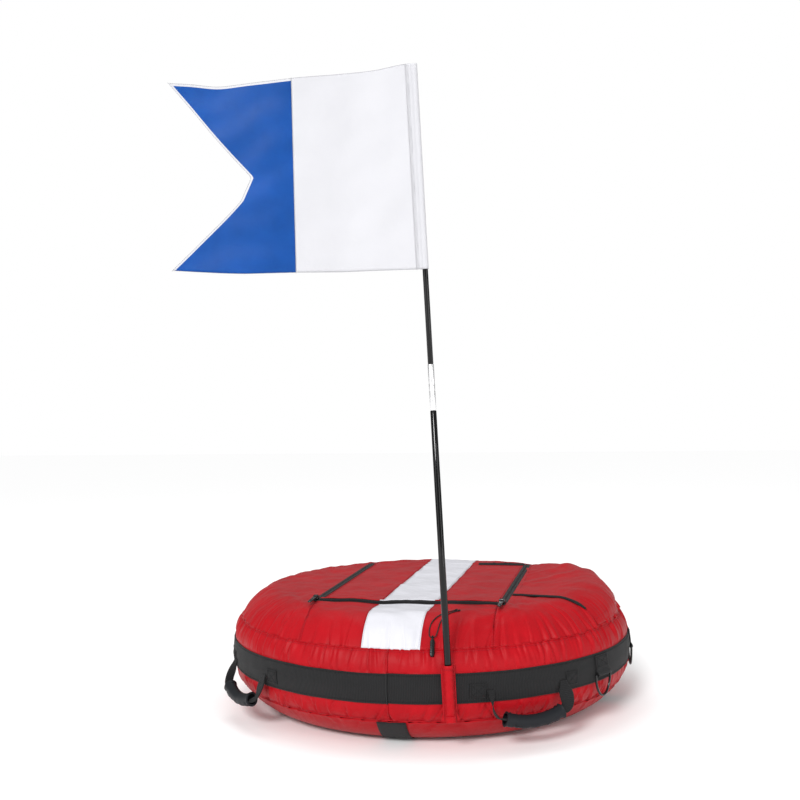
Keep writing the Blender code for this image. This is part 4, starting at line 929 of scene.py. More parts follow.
class FLOAT_OT_top(bpy.types.Operator):
    """Makes the six red top panels, the two ends of the white stripe and their seams"""
    bl_idname = "float_build.top"
    bl_label = "Top panels"

    def execute(self, context):
        edges = KEYS[[1, 2, 5, 6, 7, 8, 11, 12, 13], 0]
        names = ("top_panel_front_right", "top_panel_right", "top_panel_back_right", "stripe_back",
                 "top_panel_back_left", "top_panel_left", "top_panel_front_left", "stripe_front")
        slip = SEAM_SLIT / FLOAT_RADIUS
        for name, start, end in zip(names, edges, edges[1:]):
            angles = np.linspace(start + slip, end - slip,
                                 max(12, int((end - start) * FLOAT_RADIUS / 0.0021)))
            key = "white_nylon" if name.startswith("stripe") else "red_nylon"
            dress(flat_cloth(name + "_cloth", top_cloth(angles, np.linspace(0, 1, 72)[:, None]), key),
                  "float", name)
        # Two rows of stitches beside each seam across the top
        paths = {"red": [], "white": []}
        for mark in CORNER_SEAMS + (STRIPE_ANGLE, -STRIPE_ANGLE, pi - STRIPE_ANGLE, pi + STRIPE_ANGLE):
            for side in (-1, 1):
                angle = mark % (2 * pi) + side * 0.0024 / FLOAT_RADIUS
                on_stripe = abs((mark + side * 0.01 + pi / 2) % pi - pi / 2) < STRIPE_ANGLE
                line = top_cloth(angle, np.linspace(0.03, 0.98, 90), STITCH_LIFT)
                paths["white" if on_stripe else "red"].append((line, UP))
        sew("top_seam_stitches", paths["red"], "red")
        sew("stripe_seam_stitches", paths["white"], "white")
        return {"FINISHED"}


def across_lid(names, wide, slit):
    """The three cloths across the lid, each as its name, its left and right edge and its material."""
    half, keys = HALF_STRIPE, ("red_nylon", "white_nylon", "red_nylon")
    return zip(names, (-wide, slit - half, half + slit), (-half - slit, half - slit, wide), keys)


class FLOAT_OT_lid(bpy.types.Operator):
    """Makes the lid's three cloths, with their turned edge along the zip"""
    bl_idname = "float_build.lid"
    bl_label = "Lid"

    def execute(self, context):
        wide, seed = OPENING_HALF_WIDTH - 0.0006, settings("cover").seed
        for name, low, high, key in across_lid(("lid_panel_left", "lid_stripe", "lid_panel_right"),
                                               wide, SEAM_SLIT):
            x = np.linspace(low, high, max(24, int((high - low) / 0.0035)))
            y = np.linspace(OPENING_BACK - 0.0012, OPENING_FRONT + 0.0006, 130)[:, None]
            edge = np.minimum(np.minimum(y - OPENING_FRONT, OPENING_BACK - y), wide - np.abs(x))
            z = ripples(x, y, seed + 70, 0.11, 0.0014) + ripples(x, y, seed + 71, 0.03, 0.0005)
            z = z * (0.15 + 0.85 * clamp(edge / 0.03)) + 0.0006 * np.sin(clamp(edge / 0.006) * pi)
            z = z * clamp((OPENING_BACK - y) / 0.012) - 0.0008 * bell(np.abs(x) - HALF_STRIPE, 0.003)
            points = stacked(x, y, FLOAT_HEIGHT + z + front_sway(x, y))
            dress(flat_cloth(name + "_cloth", points, key), "lid", name)
        self.edges(wide - 0.0035)
        return {"FINISHED"}

    def edges(self, wide):
        """Stitches round the lid's three free sides and beside the stripe."""
        half, front, back = HALF_STRIPE, OPENING_FRONT + 0.0035, OPENING_BACK - 0.009
        runs = [("red", (x, front), (x, back), 0.0009) for x in (-wide, wide)]
        runs += [(key, (x, front - 0.0015), (x, back), 0.0006) for side in (-1, 1)
                 for x, key in ((side * (half - 0.0025), "white"), (side * (half + 0.0025), "red"))]
        runs += [(key, (x0, front), (x1, front), 0.0009) for key, x0, x1 in
                 (("red", -wide, -half), ("white", -half, half), ("red", half, wide))]
        paths = {"red": [], "white": []}
        for key, start, end, lift in runs:
            x, y = np.linspace(start, end, 80).T
            paths[key].append((stacked(x, y, FLOAT_HEIGHT + lift + front_sway(x, y)), UP))
        sew("lid_stitches", paths["red"], "red", "lid")
        sew("lid_stripe_stitches", paths["white"], "white", "lid")


class FLOAT_OT_zip(bpy.types.Operator):
    """Makes the zip round the lid: its tape, its teeth and the cloth flaps along the front"""
    bl_idname = "float_build.zip"
    bl_label = "Lid zip"

    def execute(self, context):
        inner, outer = OPENING_HALF_WIDTH, OPENING_HALF_WIDTH + ZIP_WIDTH
        front, back = OPENING_FRONT - ZIP_WIDTH, OPENING_BACK + 0.005
        # The tape's section on each side, as places across it and heights
        flat = ((0.0, 0.0004), (0.0008, 0.0010), (0.0035, 0.0011), (0.0045, 0.0014), (0.0070, 0.0014),
                (0.0095, 0.0014), (0.0105, 0.0011), (0.0132, 0.0010), (0.0140, 0.0004))
        # Along the front and the back the tape stands up on its edge, under the lid's lip
        ridge = ((0.0, 0.0004), (0.0012, 0.0012), (0.0032, 0.0020), (0.0044, 0.0040), (0.0056, 0.0047),
                 (0.0075, 0.0047), (0.0095, 0.0040), (0.0118, 0.0020), (0.0132, 0.0006))
        far_ridge = ((0.0, 0.0004), (0.0012, 0.0008), (0.0032, 0.0012), (0.0056, 0.0020), (0.0075, 0.0029),
                     (0.0098, 0.0037), (0.0122, 0.0037), (0.0136, 0.0024), (0.0144, 0.0006))
        runs, steps = [], np.linspace(0, 1, 90)
        for start, end, standing, seed, section, width, swell in (
                ((-outer, OPENING_BACK), (-outer, front), 0, 4, flat, 1, 0),
                ((-inner, front), (inner, front), 1, 5, ridge, 1, 0),
                ((inner, front), (inner, back + 0.010), 0, 5, flat, 1, 0),
                ((0.068, back), (inner, back), 1, 4, far_ridge, 0.010 / ZIP_WIDTH, 0.18)):
            wave = ripples(steps * 0.4, 0 * steps, seed, 0.06, 0.0006) * np.sin(pi * steps)
            hump = swell * bell(steps - 0.62, 0.13) + 6 * np.abs(wave) / ZIP_WIDTH
            hump = 1 + standing * hump * clamp(np.sin(pi * steps) * 6)
            across, up = np.array(section).T
            x, y = np.linspace(start, end, 90).T[:, :, None]
            x, y = x + (1 - standing) * across * width, y + standing * (across * width + 2 * wave[:, None])
            rows = stacked(x, y, FLOAT_HEIGHT + up * hump[:, None])
            rows[..., 2] += front_sway(rows[..., 0], rows[..., 1])
            runs.append(ribbon("run", rows, "knitted_tape", 0.0007))
        dress(join_pieces("zip_tape", runs), "float", "lid_zip")
        self.teeth(inner, front, back)
        self.flaps(inner)
        return {"FINISHED"}

    def teeth(self, inner, front, back):
        pitch = settings("trim").tooth_pitch
        half = pitch * 0.36
        bars = [[[(side * pitch / 2 + dx * half * wide, side * y * 0.001, z * 0.0006 * height)
                  for dx, z in ((-1, 0), (1, 0), (0.7, 1), (-0.7, 1))]
                 for y, height, wide in ((-2.4, 0.3, 1.0), (-0.5, 1.0, 1.0), (1.0, 1.0, 0.8),
                                         (1.5, 0.3, 0.7))]
                for side in (-1, 1)]
        middle, start, z = inner + ZIP_WIDTH / 2, front + ZIP_WIDTH / 2 + 0.018, FLOAT_HEIGHT + 0.0016
        paths = []
        for ends in (((-middle, OPENING_BACK, z), (-middle, start, z)),
                     ((0.004 - inner, front + 0.0032, z + 0.0012),
                      (inner - 0.004, front + 0.0032, z + 0.0012)),
                     ((middle, start, z), (middle, back + 0.006, z))):
            path = np.linspace(*ends, 60)
            path[:, 2] += front_sway(path[:, 0], path[:, 1])
            paths.append((path, UP))
        copy = small_copy("zip_tooth_pair", bars, 4)
        teeth = outward(repeat_along("zip_teeth", paths, copy, 2 * pitch, "moulded_acetal"))
        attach(teeth, "float")

    def flaps(self, inner):
        """The lid's turned lip, which stands over the zip along the front."""
        off, rise, free = np.array((
            (0.0020, 0.0004, 0), (0.0008, 0.0022, 0.2), (-0.0015, 0.0048, 0.7), (-0.0042, 0.0060, 1),
            (-0.0066, 0.0060, 1), (-0.0070, 0.0054, 1), (-0.0064, 0.0050, 1))).T[:, :, None]
        for name, low, high, key in across_lid(("lid_lip_left", "lid_lip_middle", "lid_lip_right"),
                                               inner - 0.003, 0.0001):
            x = np.linspace(low, high, max(20, int((high - low) / 0.003)))
            y = OPENING_FRONT + off + ripples(x, 0 * x, 52, 0.05, 0.0009) * free
            lift = 0.0004 + np.abs(ripples(x, 0 * x, 53, 0.045, 0.0009))
            lift = lift * np.clip((inner - np.abs(x)) / 0.03, 0.3, 1)
            points = stacked(x, y, FLOAT_HEIGHT + rise + lift * free + front_sway(x, y))
            dress(flat_cloth(name, points, key, LIP_CLOTH, 0), "lid")


class FLOAT_OT_sliders(bpy.types.Operator):
    """Makes the two zip sliders and their long pulls"""
    bl_idname = "float_build.sliders"
    bl_label = "Zip sliders and pulls"

    def execute(self, context):
        shell = mirrored([(0.0035, 0), (0.0060, 0.0035), (0.0060, 0.0120), (0.0042, 0.0190),
                          (0.0030, 0.0210)])
        spine = mirrored([(0.0016, 0.0085), (0.0012, 0.0195)])
        for side, sign in (("left", -1), ("right", 1)):
            place = Matrix.Translation((sign * (OPENING_HALF_WIDTH + ZIP_WIDTH / 2),
                                        OPENING_FRONT - ZIP_WIDTH + 0.006, FLOAT_HEIGHT + 2 * GAP + 0.0020))
            parts = [plate(shell, 0, 0.0028, METAL, place, 0.0009),
                     plate(spine, 0.0026, 0.0042, METAL, place, 0.0005)]
            parts += two_blocks((0.0045, 0.0059), (0.0015, 0.0069), (0.0015, 0.0073), place, 0.0006)
            parts.append(bar(0.0052, 0.0042, 0.0060, 0.0012, METAL, place, 12))
            dress(join_pieces("slider_%s_body" % side, parts), "slider_" + side, "slider_" + side)
            self.pull(side, place @ Matrix.Translation((0, 0.0042, 0.0060))
                      @ Matrix.Rotation(radians(3.5), 4, "X"))
        return {"FINISHED"}

    def pull(self, side, place):
        """A cast tab with a hole at its root, a waist and a ridged paddle at its end."""
        half = 0.00115
        paddle = mirrored([(0.0030, -0.0100), (0.0037, -0.0150), (0.0037, -0.0420), (0.0028, -0.0465)])
        parts = [plate(paddle, -half, half, METAL, place, 0.0006)]
        parts += two_blocks((0.0022, 0.0036), (-0.0115, -0.0010), (-half, half), place, 0.0004)
        eye, hole, turn = 0.0026, 0.00155, circle(20)
        rings = [stacked(x, r * np.cos(turn), r * np.sin(turn)) for r, x in
                 ((hole, -0.0035), (eye, -0.0035), (eye, 0.0035), (hole, 0.0035), (hole, -0.0035))]
        parts.append(outward(grid_object("eye", moved(rings, place), METAL, closed=True)))
        parts += [bar(0.0028, -0.0200 - 0.0035 * i, z, 0.0004, METAL, place)
                  for i in range(6) for z in (half, -half)]
        dress(join_pieces("pull_%s_tab" % side, parts), "pull_" + side, "pull_" + side)


# The side pocket's height, as shares across it and along it
POCKET_CROWN = ((0, 0.28, 0.5, 0.69, 0.83, 0.92, 1.0), (0, 0.24, 0.46, 0.74, 0.95, 0.72, 0))
POCKET_LENGTH = ((0, 0.12, 0.4, 0.54, 0.66, 0.77, 0.9, 1.0), (0, 0.3, 0.52, 0.66, 0.84, 0.84, 0.5, 0))


def near_ends(share, width, end_width=None):
    """Rises from 0 at one end to 1 and falls to 0 at the other."""
    return clamp(share / width) * clamp((1 - share) / (end_width or width))


def pocket_points(angles, shares, extra=0.0):
    """Points of the pocket's cloth; shares run from its edge by the zip to its foot."""
    inner, outer = top_points(angles, 0 * shares), top_points(angles, 1 + 0 * shares)
    start = (OPENING_HALF_WIDTH + ZIP_WIDTH + 0.0005 - inner[..., 0]) / (outer[..., 0] - inner[..., 0])
    place = start + (0.984 - start) * shares
    along = (angles - POCKET_START) / (POCKET_END - POCKET_START)
    rise = 0.024 * eased(along, POCKET_LENGTH, 0.04) * eased(place, POCKET_CROWN, 0.03)
    rise = rise * near_ends(along, 0.02) * near_ends(shares, 0.04)
    base = top_points(angles, place)
    normal = (top_points(angles, place, 0.01) - base) / 0.01
    out = normal + UP
    out /= np.linalg.norm(out, axis=-1)[..., None]
    return base + out * rise[..., None] + normal * np.asarray(CLOTH + extra)[..., None]


class FLOAT_OT_pocket(bpy.types.Operator):
    """Makes the gusseted side pocket, the zip along its front edge and its seams"""
    bl_idname = "float_build.pocket"
    bl_label = "Side pocket"

    def execute(self, context):
        angles, shares = np.linspace(POCKET_START, POCKET_END, 300), np.linspace(0, 1, 90)[:, None]
        along = (angles - POCKET_START) / (POCKET_END - POCKET_START)
        folds = (0.0008 * np.sin((along * 9 + shares * 5) * 1.3)
                 + ripples(along * 0.5, shares * 0.2, 91, 0.05, 0.0007))
        for line, lean, width, deep in ((0.52, 0.30, 0.050, 0.0024), (0.72, 0.22, 0.04, 0.0018),
                                        (0.30, -0.10, 0.05, 0.0012)):
            off = along - line - lean * (shares - 0.5)
            folds += deep * (bell(off, width) - 0.6 * bell(off - 1.5 * width, width))
        folds += gathers(angles, shares, 93, 260, 0.005, 0.0011, (1, 0.6))
        edge = near_ends(shares, 0.06, 0.05) * near_ends(along, 0.04)
        points = pocket_points(angles, shares, np.maximum(folds, -0.0012) * edge)
        dress(flat_cloth("side_pocket_cloth", points, "red_nylon"), "float", "side_pocket")
        self.front_zip()
        lines = [(np.linspace(POCKET_START + 0.02, POCKET_END - 0.02, 160), share)
                 for share in (0.045, 0.955)]
        lines += [(angle, np.linspace(0.03, 0.97, 120))
                  for angle in (POCKET_START + 0.008, POCKET_END - 0.008)]
        sew("pocket_stitches", [(pocket_points(*line, 0.0006), UP) for line in lines], "red")
        return {"FINISHED"}

    def front_zip(self):
        off, lift = np.array(((0.0066, 0.0006), (0.0056, 0.0020), (0.0040, 0.0034), (0.0016, 0.0036),
                              (-0.0004, 0.0020))).T
        angles, shares = POCKET_START - off / FLOAT_RADIUS, np.linspace(0.089, 0.854, 70)[:, None]
        points = top_points(angles, shares, np.maximum(top_distance(angles, shares), 0) + lift)
        dress(outward_from_middle(ribbon("pocket_zip_tape", points, "knitted_tape", 0.0008)),
              "float", "pocket_zip")


# The pole, its sleeve and the flag. In the pole's frame Z runs up the pole and X along the rim.
POLE = rim_place(POLE_ANGLE, BAND_FACE + GAP + POLE_STANDOFF, POLE_FOOT) @ Matrix.Rotation(-POLE_LEAN, 4, "Y")


class FLOAT_OT_sleeve(bpy.types.Operator):
    """Makes the red sleeve that holds the pole against the rim band"""
    bl_idname = "float_build.sleeve"
    bl_label = "Pole sleeve"

    def execute(self, context):
        red, back, reach, rows = "red_nylon", POLE_STANDOFF - 0.0004, POLE_STANDOFF + 0.0002, []
        heights = np.concatenate([[-0.0033], np.linspace(-0.0030, 0.0937, 60)])
        for z in heights:
            half = 0.01225 + 0.0035 * clamp(1 - (z + 0.0033) / 0.012) ** 0.7
            crush = 1 - 0.10 * bell(z - 0.006, 0.006) - 0.03 * sin(z * 260)
            wing = np.array([(half, back, z), (half * 0.93, back - 0.0012, z), (0.0093, back - 0.0016, z)])
            bow = arc(reach, 200, 340, 21, z) * (1, crush, 1) + (0.0004 * sin(z * 420), 0, 0)
            rows.append(np.concatenate([wing * (-1, 1, 1), bow, wing[::-1]]))
        uv = stacked(np.linspace(0, 0.045, len(rows[0])), heights[:, None])
        cloth = grid_object("sleeve_cloth", moved(rows, POLE), red, uv=uv, flip=True)
        foot = stacked(np.linspace(-0.008075, 0.008075, 9)[:, None], [-0.0060, back], -0.0031)
        parts = [thicken(cloth, 0.0008),
                 thicken(grid_object("sleeve_floor", moved(foot, POLE), red), 0.0010, 0)]
        # The cloth is turned back on itself at the sleeve's mouth and foot
        for low, high, lift in ((0.0858, 0.0940, 0.0010), (-0.0034, 0.0085, 0.0012)):
            rows = [arc(reach + lift * out, 194, 346, 25, z) for z, out in
                    ((low, 0.2), (low + 0.0008, 1), (high - 0.0008, 1), (high, 0.2))]
            parts.append(thicken(grid_object("sleeve_fold", moved(rows, POLE), red, flip=True), 0.0006))
        dress(join_pieces("sleeve", parts), "float", "pole_sleeve")
        lines = [stacked(x, back - 0.0018, np.linspace(0.001, 0.092, 40)) for x in (-0.0106, 0.0106)]
        lines += [arc(reach + 0.0013, 200, 340, 24, z) for z in (0.0068, 0.0872)]
        sew("sleeve_stitches", [(moved(line, POLE), facing(POLE, 0, -1, 0)) for line in lines], "red")
        return {"FINISHED"}


class FLOAT_OT_poles(bpy.types.Operator):
    """Makes the two glass-fibre poles and the metal ferrule that joins them"""
    bl_idname = "float_build.poles"
    bl_label = "Poles and ferrule"

    def execute(self, context):
        shoulder = LOWER_POLE_LENGTH
        low, top = shoulder + GAP, shoulder + GAP + FERRULE_LENGTH
        seat, middle, end = top + GAP, (low + top) / 2, top + GAP + UPPER_POLE_LENGTH
        lower = [(0, 0), (0.0050, 0), (0.0062, 0.0012), (0.0058, 0.26), (0.0053, shoulder - 0.0008),
                 (0.0045, shoulder), (0.0038, shoulder), (0.0038, shoulder + 0.035),
                 (0.0030, shoulder + 0.036), (0, shoulder + 0.036)]
        upper = [(0, seat - 0.036), (0.0030, seat - 0.036), (0.0038, seat - 0.035), (0.0038, seat),
                 (0.0044, seat), (0.0048, seat + 0.0008), (0.0046, seat + 0.25), (0.0043, end - 0.0012),
                 (0.0034, end), (0, end)]
        # The ferrule has two grooves, each side of its middle
        ferrule = [(0.0041, low), (0.0049, low), (0.0053, low + 0.0006)]
        ferrule += [(radius, middle + side * 0.006 + off) for side in (-1, 1) for radius, off in
                    ((0.0053, -0.0015), (0.0051, -0.0005), (0.0051, 0.0005), (0.0053, 0.0015))]
        ferrule += [(0.0053, top - 0.0006), (0.0049, top), (0.0041, top), (0.0041, low)]
        # The ferrule wears the frame's own aluminium
        for name, profile, key, body in (("lower_pole", lower, "lacquered_glass_fibre", "lower_pole"),
                                         ("upper_pole", upper, "lacquered_glass_fibre", "upper_pole"),
                                         ("pole_ferrule", ferrule, "aluminium", "lower_pole")):
            rings = [arc(radius, 0, 351, 40, z) for radius, z in profile]
            piece = outward(grid_object(name + "_turned", moved(rings, POLE), key, closed=True))
            piece.data.set_sharp_from_angle(angle=radians(50))
            dress(piece, body, name)
        return {"FINISHED"}


# Shares along the flag, as its solids have them
FLAG_TOP_EDGE = ((0.0, 0.115, 0.49, 0.73, 0.78, 0.88, 1.0), (1.0, 0.978, 0.945, 0.931, 0.93, 0.950, 0.960))
FLAG_BOTTOM_EDGE = ((0.0, 0.5, 0.7, 0.79, 1.0), (0.0, 0.0135, 0.019, 0.028, 0.057))
FLAG_REACH = ((0.0, 0.382, 0.505, 1.0), (1.0, 0.714, 0.667, 0.972))
FLAG_SEAM = ((0.0, 1.0), (0.512, 0.487))


def flag_points(reach, height_share):
    """Points of the flag's cloth in the pole's frame, rippling more towards the fly."""
    start = HEM_TAIL + GAP
    share = (reach - start) / (FLAG_FLY - start)
    bottom, top = eased(share, FLAG_BOTTOM_EDGE, 0.03), eased(share, FLAG_TOP_EDGE, 0.03)
    height = FLAG_TOP + FLAG_HOIST * (bottom + (top - bottom) * height_share - 1)
    phase = 1.35 * 2 * pi * share + 1.2 * (height_share - 0.5)
    wave = settings("flag").wave_depth * np.minimum(share * 3.0, 1.0) * np.sin(phase)
    wave = wave + ripples(reach, height_share * FLAG_HOIST, 12, 0.10, 0.0016) * clamp(share * 12)
    return stacked(-reach, wave, height)


class FLOAT_OT_flag(bpy.types.Operator):
    """Makes the flag: its hem on the pole, the white hoist and the blue swallow-tailed fly"""
    bl_idname = "float_build.flag"
    bl_label = "Flag"

    def execute(self, context):
        border, hem = settings("flag").border, self.hem()
        edge = border / FLAG_HOIST
        rows = np.concatenate([np.linspace(0, 1 - edge, 70), np.linspace(1 - edge, 1, 3)[1:]])[:, None]
        seam, fly = FLAG_FLY * np.interp(rows, *FLAG_SEAM), FLAG_FLY * eased(rows, FLAG_REACH, 0.006)
        # The blue stops at a notch, and white cloth goes on to the fly's edge
        plain, notch = np.linspace(0, 1, 60), 1 - border / (fly - seam - 0.00015)
        blue = np.concatenate([plain * notch, (1 + notch) / 2, np.ones_like(notch)], axis=1)
        bare = (rows >= 1 - edge - 1e-6) | (blue >= notch - 1e-6)
        lines = []
        for name, near, far, shares, keys, picks in (
                ("flag_white", HEM_TAIL + GAP, seam - 0.00015, plain, "white_polyester", None),
                ("flag_blue", seam + 0.00015, fly, blue, ("blue_polyester", "white_polyester"), bare)):
            reach = near + (far - near) * shares
            points = flag_points(reach, rows)
            cloth = grid_object(name + "_cloth", moved(points, POLE), keys, uv=stacked(reach, points[..., 2]),
                                picks=picks)
            dress(thicken(cloth, 0.0005, 0), "flag", name)
            lines += [points[:, 0], points[:, -1], points[0], points[-1]]
        self.sewing(lines)
        return {"FINISHED"}

    def hem(self):
        flat, rows = 0.0007, []
        heights = np.concatenate([np.linspace(FLAG_TOP - FLAG_HOIST, FLAG_TOP - 0.0024, 80),
                                  [FLAG_TOP - 0.0012, FLAG_TOP]])
        # The hem's top is pressed flat
        for z, pinch in zip(heights, [1.0] * 80 + [0.75, 0.35]):
            wave = 0.0005 * sin(z * 190) + 0.0004 * sin(z * 77 + 1)
            wings = [[(-HEM_TAIL, side * flat, z), (-0.0118, side * flat + wave * 0.2, z),
                      (-0.0095, side * flat * 1.3 + wave * 0.5, z)] for side in (1, -1)]
            rows.append(np.concatenate([wings[0], arc(0.0060, 150, -150, 21, z) * (1, pinch, 1),
                                        wings[1][::-1]]))
        uv = stacked(np.linspace(0, 0.055, len(rows[0])), heights[:, None])
        hem = grid_object("flag_hem_cloth", moved(rows, POLE), "white_polyester", uv=uv)
        return dress(thicken(hem, 0.0006), "flag", "flag_hem")

    def sewing(self, lines):
        """Stitches down the hem, beside the middle seam and round the edges, on both faces."""
        down = np.linspace(FLAG_TOP - FLAG_HOIST + 0.002, FLAG_TOP - 0.003, 90)
        rows = ([(stacked(x, 0, down), 0.0012) for x in (-0.0122, -0.0100)]
                + [(line, 0.00045) for line in lines])
        paths = [(moved(line + (0, side * off, 0), POLE), facing(POLE, 0, side, 0))
                 for line, off in rows for side in (-1, 1)]
        sew("flag_stitches", paths, "white", "flag")


# Handles, rings and their webbing tabs

def box_stitch(centre, height, half, rise, lift):
    """Paths of a stitched box with a cross in it, on the rim band."""
    corners = np.array([(-half, -rise), (half, -rise), (half, rise), (-half, rise)])
    paths = []
    for start, end in ((0, 1), (1, 2), (2, 3), (3, 0), (0, 2), (1, 3)):
        x, z = np.linspace(corners[start], corners[end], 8).T
        paths.append((band_points(centre + x / BAND_FACE, height + z, lift), (sin(centre), -cos(centre), 0)))
    return paths


class FLOAT_OT_handles(bpy.types.Operator):
    """Makes the four handles: webbing ends sewn to the band, a strap and a moulded rubber grip"""
    bl_idname = "float_build.handles"
    bl_label = "Handles"

    def execute(self, context):
        face = float(band_radius(HANDLE_HEIGHT))
        end = HANDLE_HALF_SPAN + 0.00625
        chord = (face ** 2 - (HANDLE_HALF_SPAN - 0.00625) ** 2) ** 0.5 + GAP + WEBBING / 2
        stitches = []
        for number, angle in enumerate(HANDLE_ANGLES, 1):
            place = rim_place(angle, chord, HANDLE_HEIGHT) @ Matrix.Rotation(-radians(22), 4, "X")
            self.strap(number, place)
            self.grip(number, place)
            for side, sign in (("a", -1), ("b", 1)):
                centre = angle + sign * asin((end + GAP + 0.015) / face)
                self.tab("handle_tab_%d%s" % (number, side), centre)
                stitches += box_stitch(centre, HANDLE_HEIGHT, 0.0115, 0.0095, 0.0024)
        sew("handle_tab_stitches", stitches, "black")
        return {"FINISHED"}

    def tab(self, name, centre):
        x = np.concatenate([[-0.0150, -0.0146], np.linspace(-0.0135, 0.0135, 12), [0.0146, 0.0150]])
        z = np.concatenate([[0.0125, 0.0122], np.linspace(0.0110, -0.0110, 9), [-0.0122, -0.0125]])[:, None]
        edge = clamp(np.minimum(0.0150 - np.abs(x), 0.0125 - np.abs(z)) / 0.0015)
        lift = GAP + 0.0013 + 0.0005 * np.sqrt(edge) + 0.00025 * np.sin(x * 900) * np.sin(z * 800)
        rows = band_points(centre + x / BAND_FACE, HANDLE_HEIGHT + z, lift)
        dress(ribbon(name + "_webbing", rows, "woven_polypropylene", 0.0013, -1, True), "float", name)

    def strap(self, number, place):
        """The webbing, folded narrow where it turns on the band and where it enters the grip."""
        # Centre, half width and how far the width is turned out of the handle's plane, in degrees
        keys = [(-0.0720, 0.0000, 0.0061, 0), (-0.0722, -0.0100, 0.0062, 20), (-0.0738, -0.0240, 0.0074, 58),
                (-0.0735, -0.0370, 0.0078, 74), (-0.0670, -0.0480, 0.0080, 78),
                (-0.0560, -0.0510, 0.0080, 70), (-0.0300, -0.0568, 0.0080, 60), (0.0000, -0.0595, 0.0080, 60),
                (0.0300, -0.0568, 0.0080, 60), (0.0560, -0.0505, 0.0080, 40), (0.0680, -0.0440, 0.0098, 16),
                (0.0722, -0.0330, 0.0126, 6), (0.0724, -0.0200, 0.0132, 2), (0.0722, -0.0080, 0.0084, 0),
                (0.0720, 0.0000, 0.0061, 0)]
        line = smooth_line(keys, 110)
        tangent = np.gradient(line[:, :2], axis=0)
        run, rise = (tangent / np.linalg.norm(tangent, axis=1)[:, None]).T[:, :, None]
        x, z, half, twist = line.T[:, :, None]
        twist, across = np.radians(twist), np.linspace(-1, 1, 9)
        flat, stand = half * np.cos(twist) * across, half * np.sin(twist) * across
        curl = 0.0009 * np.sin(twist * 2) * (across ** 2 - 0.5)
        rows = moved(stacked(x - rise * flat, stand + curl, z + run * flat), place)
        strap = ribbon("handle_strap_%d_webbing" % number, rows, "woven_polypropylene", 0.0014)
        dress(strap, "handle_%d" % number, "handle_strap_%d" % number)

    def grip(self, number, place):
        """A bowed rubber tube with a rolled lip at each end and finger ridges underneath."""
        half, thick = 0.056, 0.012
        steps = np.concatenate([[-1.0, -0.997, -0.985], np.linspace(-0.965, 0.965, 60), [0.985, 0.997, 1.0]])
        path = stacked(steps * half, 0, -0.050 - 0.010 * (1 - steps ** 2))
        radii = 0.0113 + 0.0010 * np.abs(steps) ** 3 + 0.0011 * bell(np.abs(steps) - 0.985, 0.022)
        radii[[0, -1]] -= 0.0016
        radii[[1, -2]] -= 0.0004
        centre = path[:, None]
        off = tube_points(path, radii, 40, up=(0, 1, 0)) - centre
        low = clamp(-off[..., 2] / thick)
        ridge = 0.0008 * clamp(np.sin(steps * half / 0.0034)) * (np.abs(np.abs(steps) - 0.80) < 0.13)
        grooves = 0.0006 * np.cos(steps * pi * 5) * (np.abs(steps) < 0.62)
        size = 1 - ridge[:, None] * 1.6 * (low > 0.55) / thick + grooves[:, None] * low ** 2 / thick
        off = off * size[..., None] * (1.0, 0.92, 1.0)
        # Each mouth is turned in to a small hole, which is filled
        mouths = [[path[end] + off[end] * share + np.array([way, 0, 0.12]) * deep for share, deep in
                   ((0.84, 0), (0.82, 0.009), (0.02, 0.0092))] for end, way in ((0, 1), (-1, -1))]
        rows = np.concatenate([mouths[0][::-1], centre + off, mouths[1]])
        name = "handle_grip_%d" % number
        grip = outward(grid_object(name + "_rubber", moved(rows, place), "moulded_rubber", closed=True))
        grip.data.set_sharp_from_angle(angle=radians(60))
        parts, turn = [outward(grip, fill=True)], radians(236)
        for x in (-0.046, -0.041, -0.036, -0.031):
            z = -0.050 - 0.010 * (1 - (x / half) ** 2) + 0.0116 * sin(turn)
            parts.append(bar(0.0004, 0.0112 * 0.92 * cos(turn), z, 0.0013, "butyl_rubber",
                             place @ Matrix.Translation((x, 0, 0)), 10, facing(place, 0, 1, 0)))
        dress(join_pieces(name + "_rubber", parts), "handle_%d" % number, name)


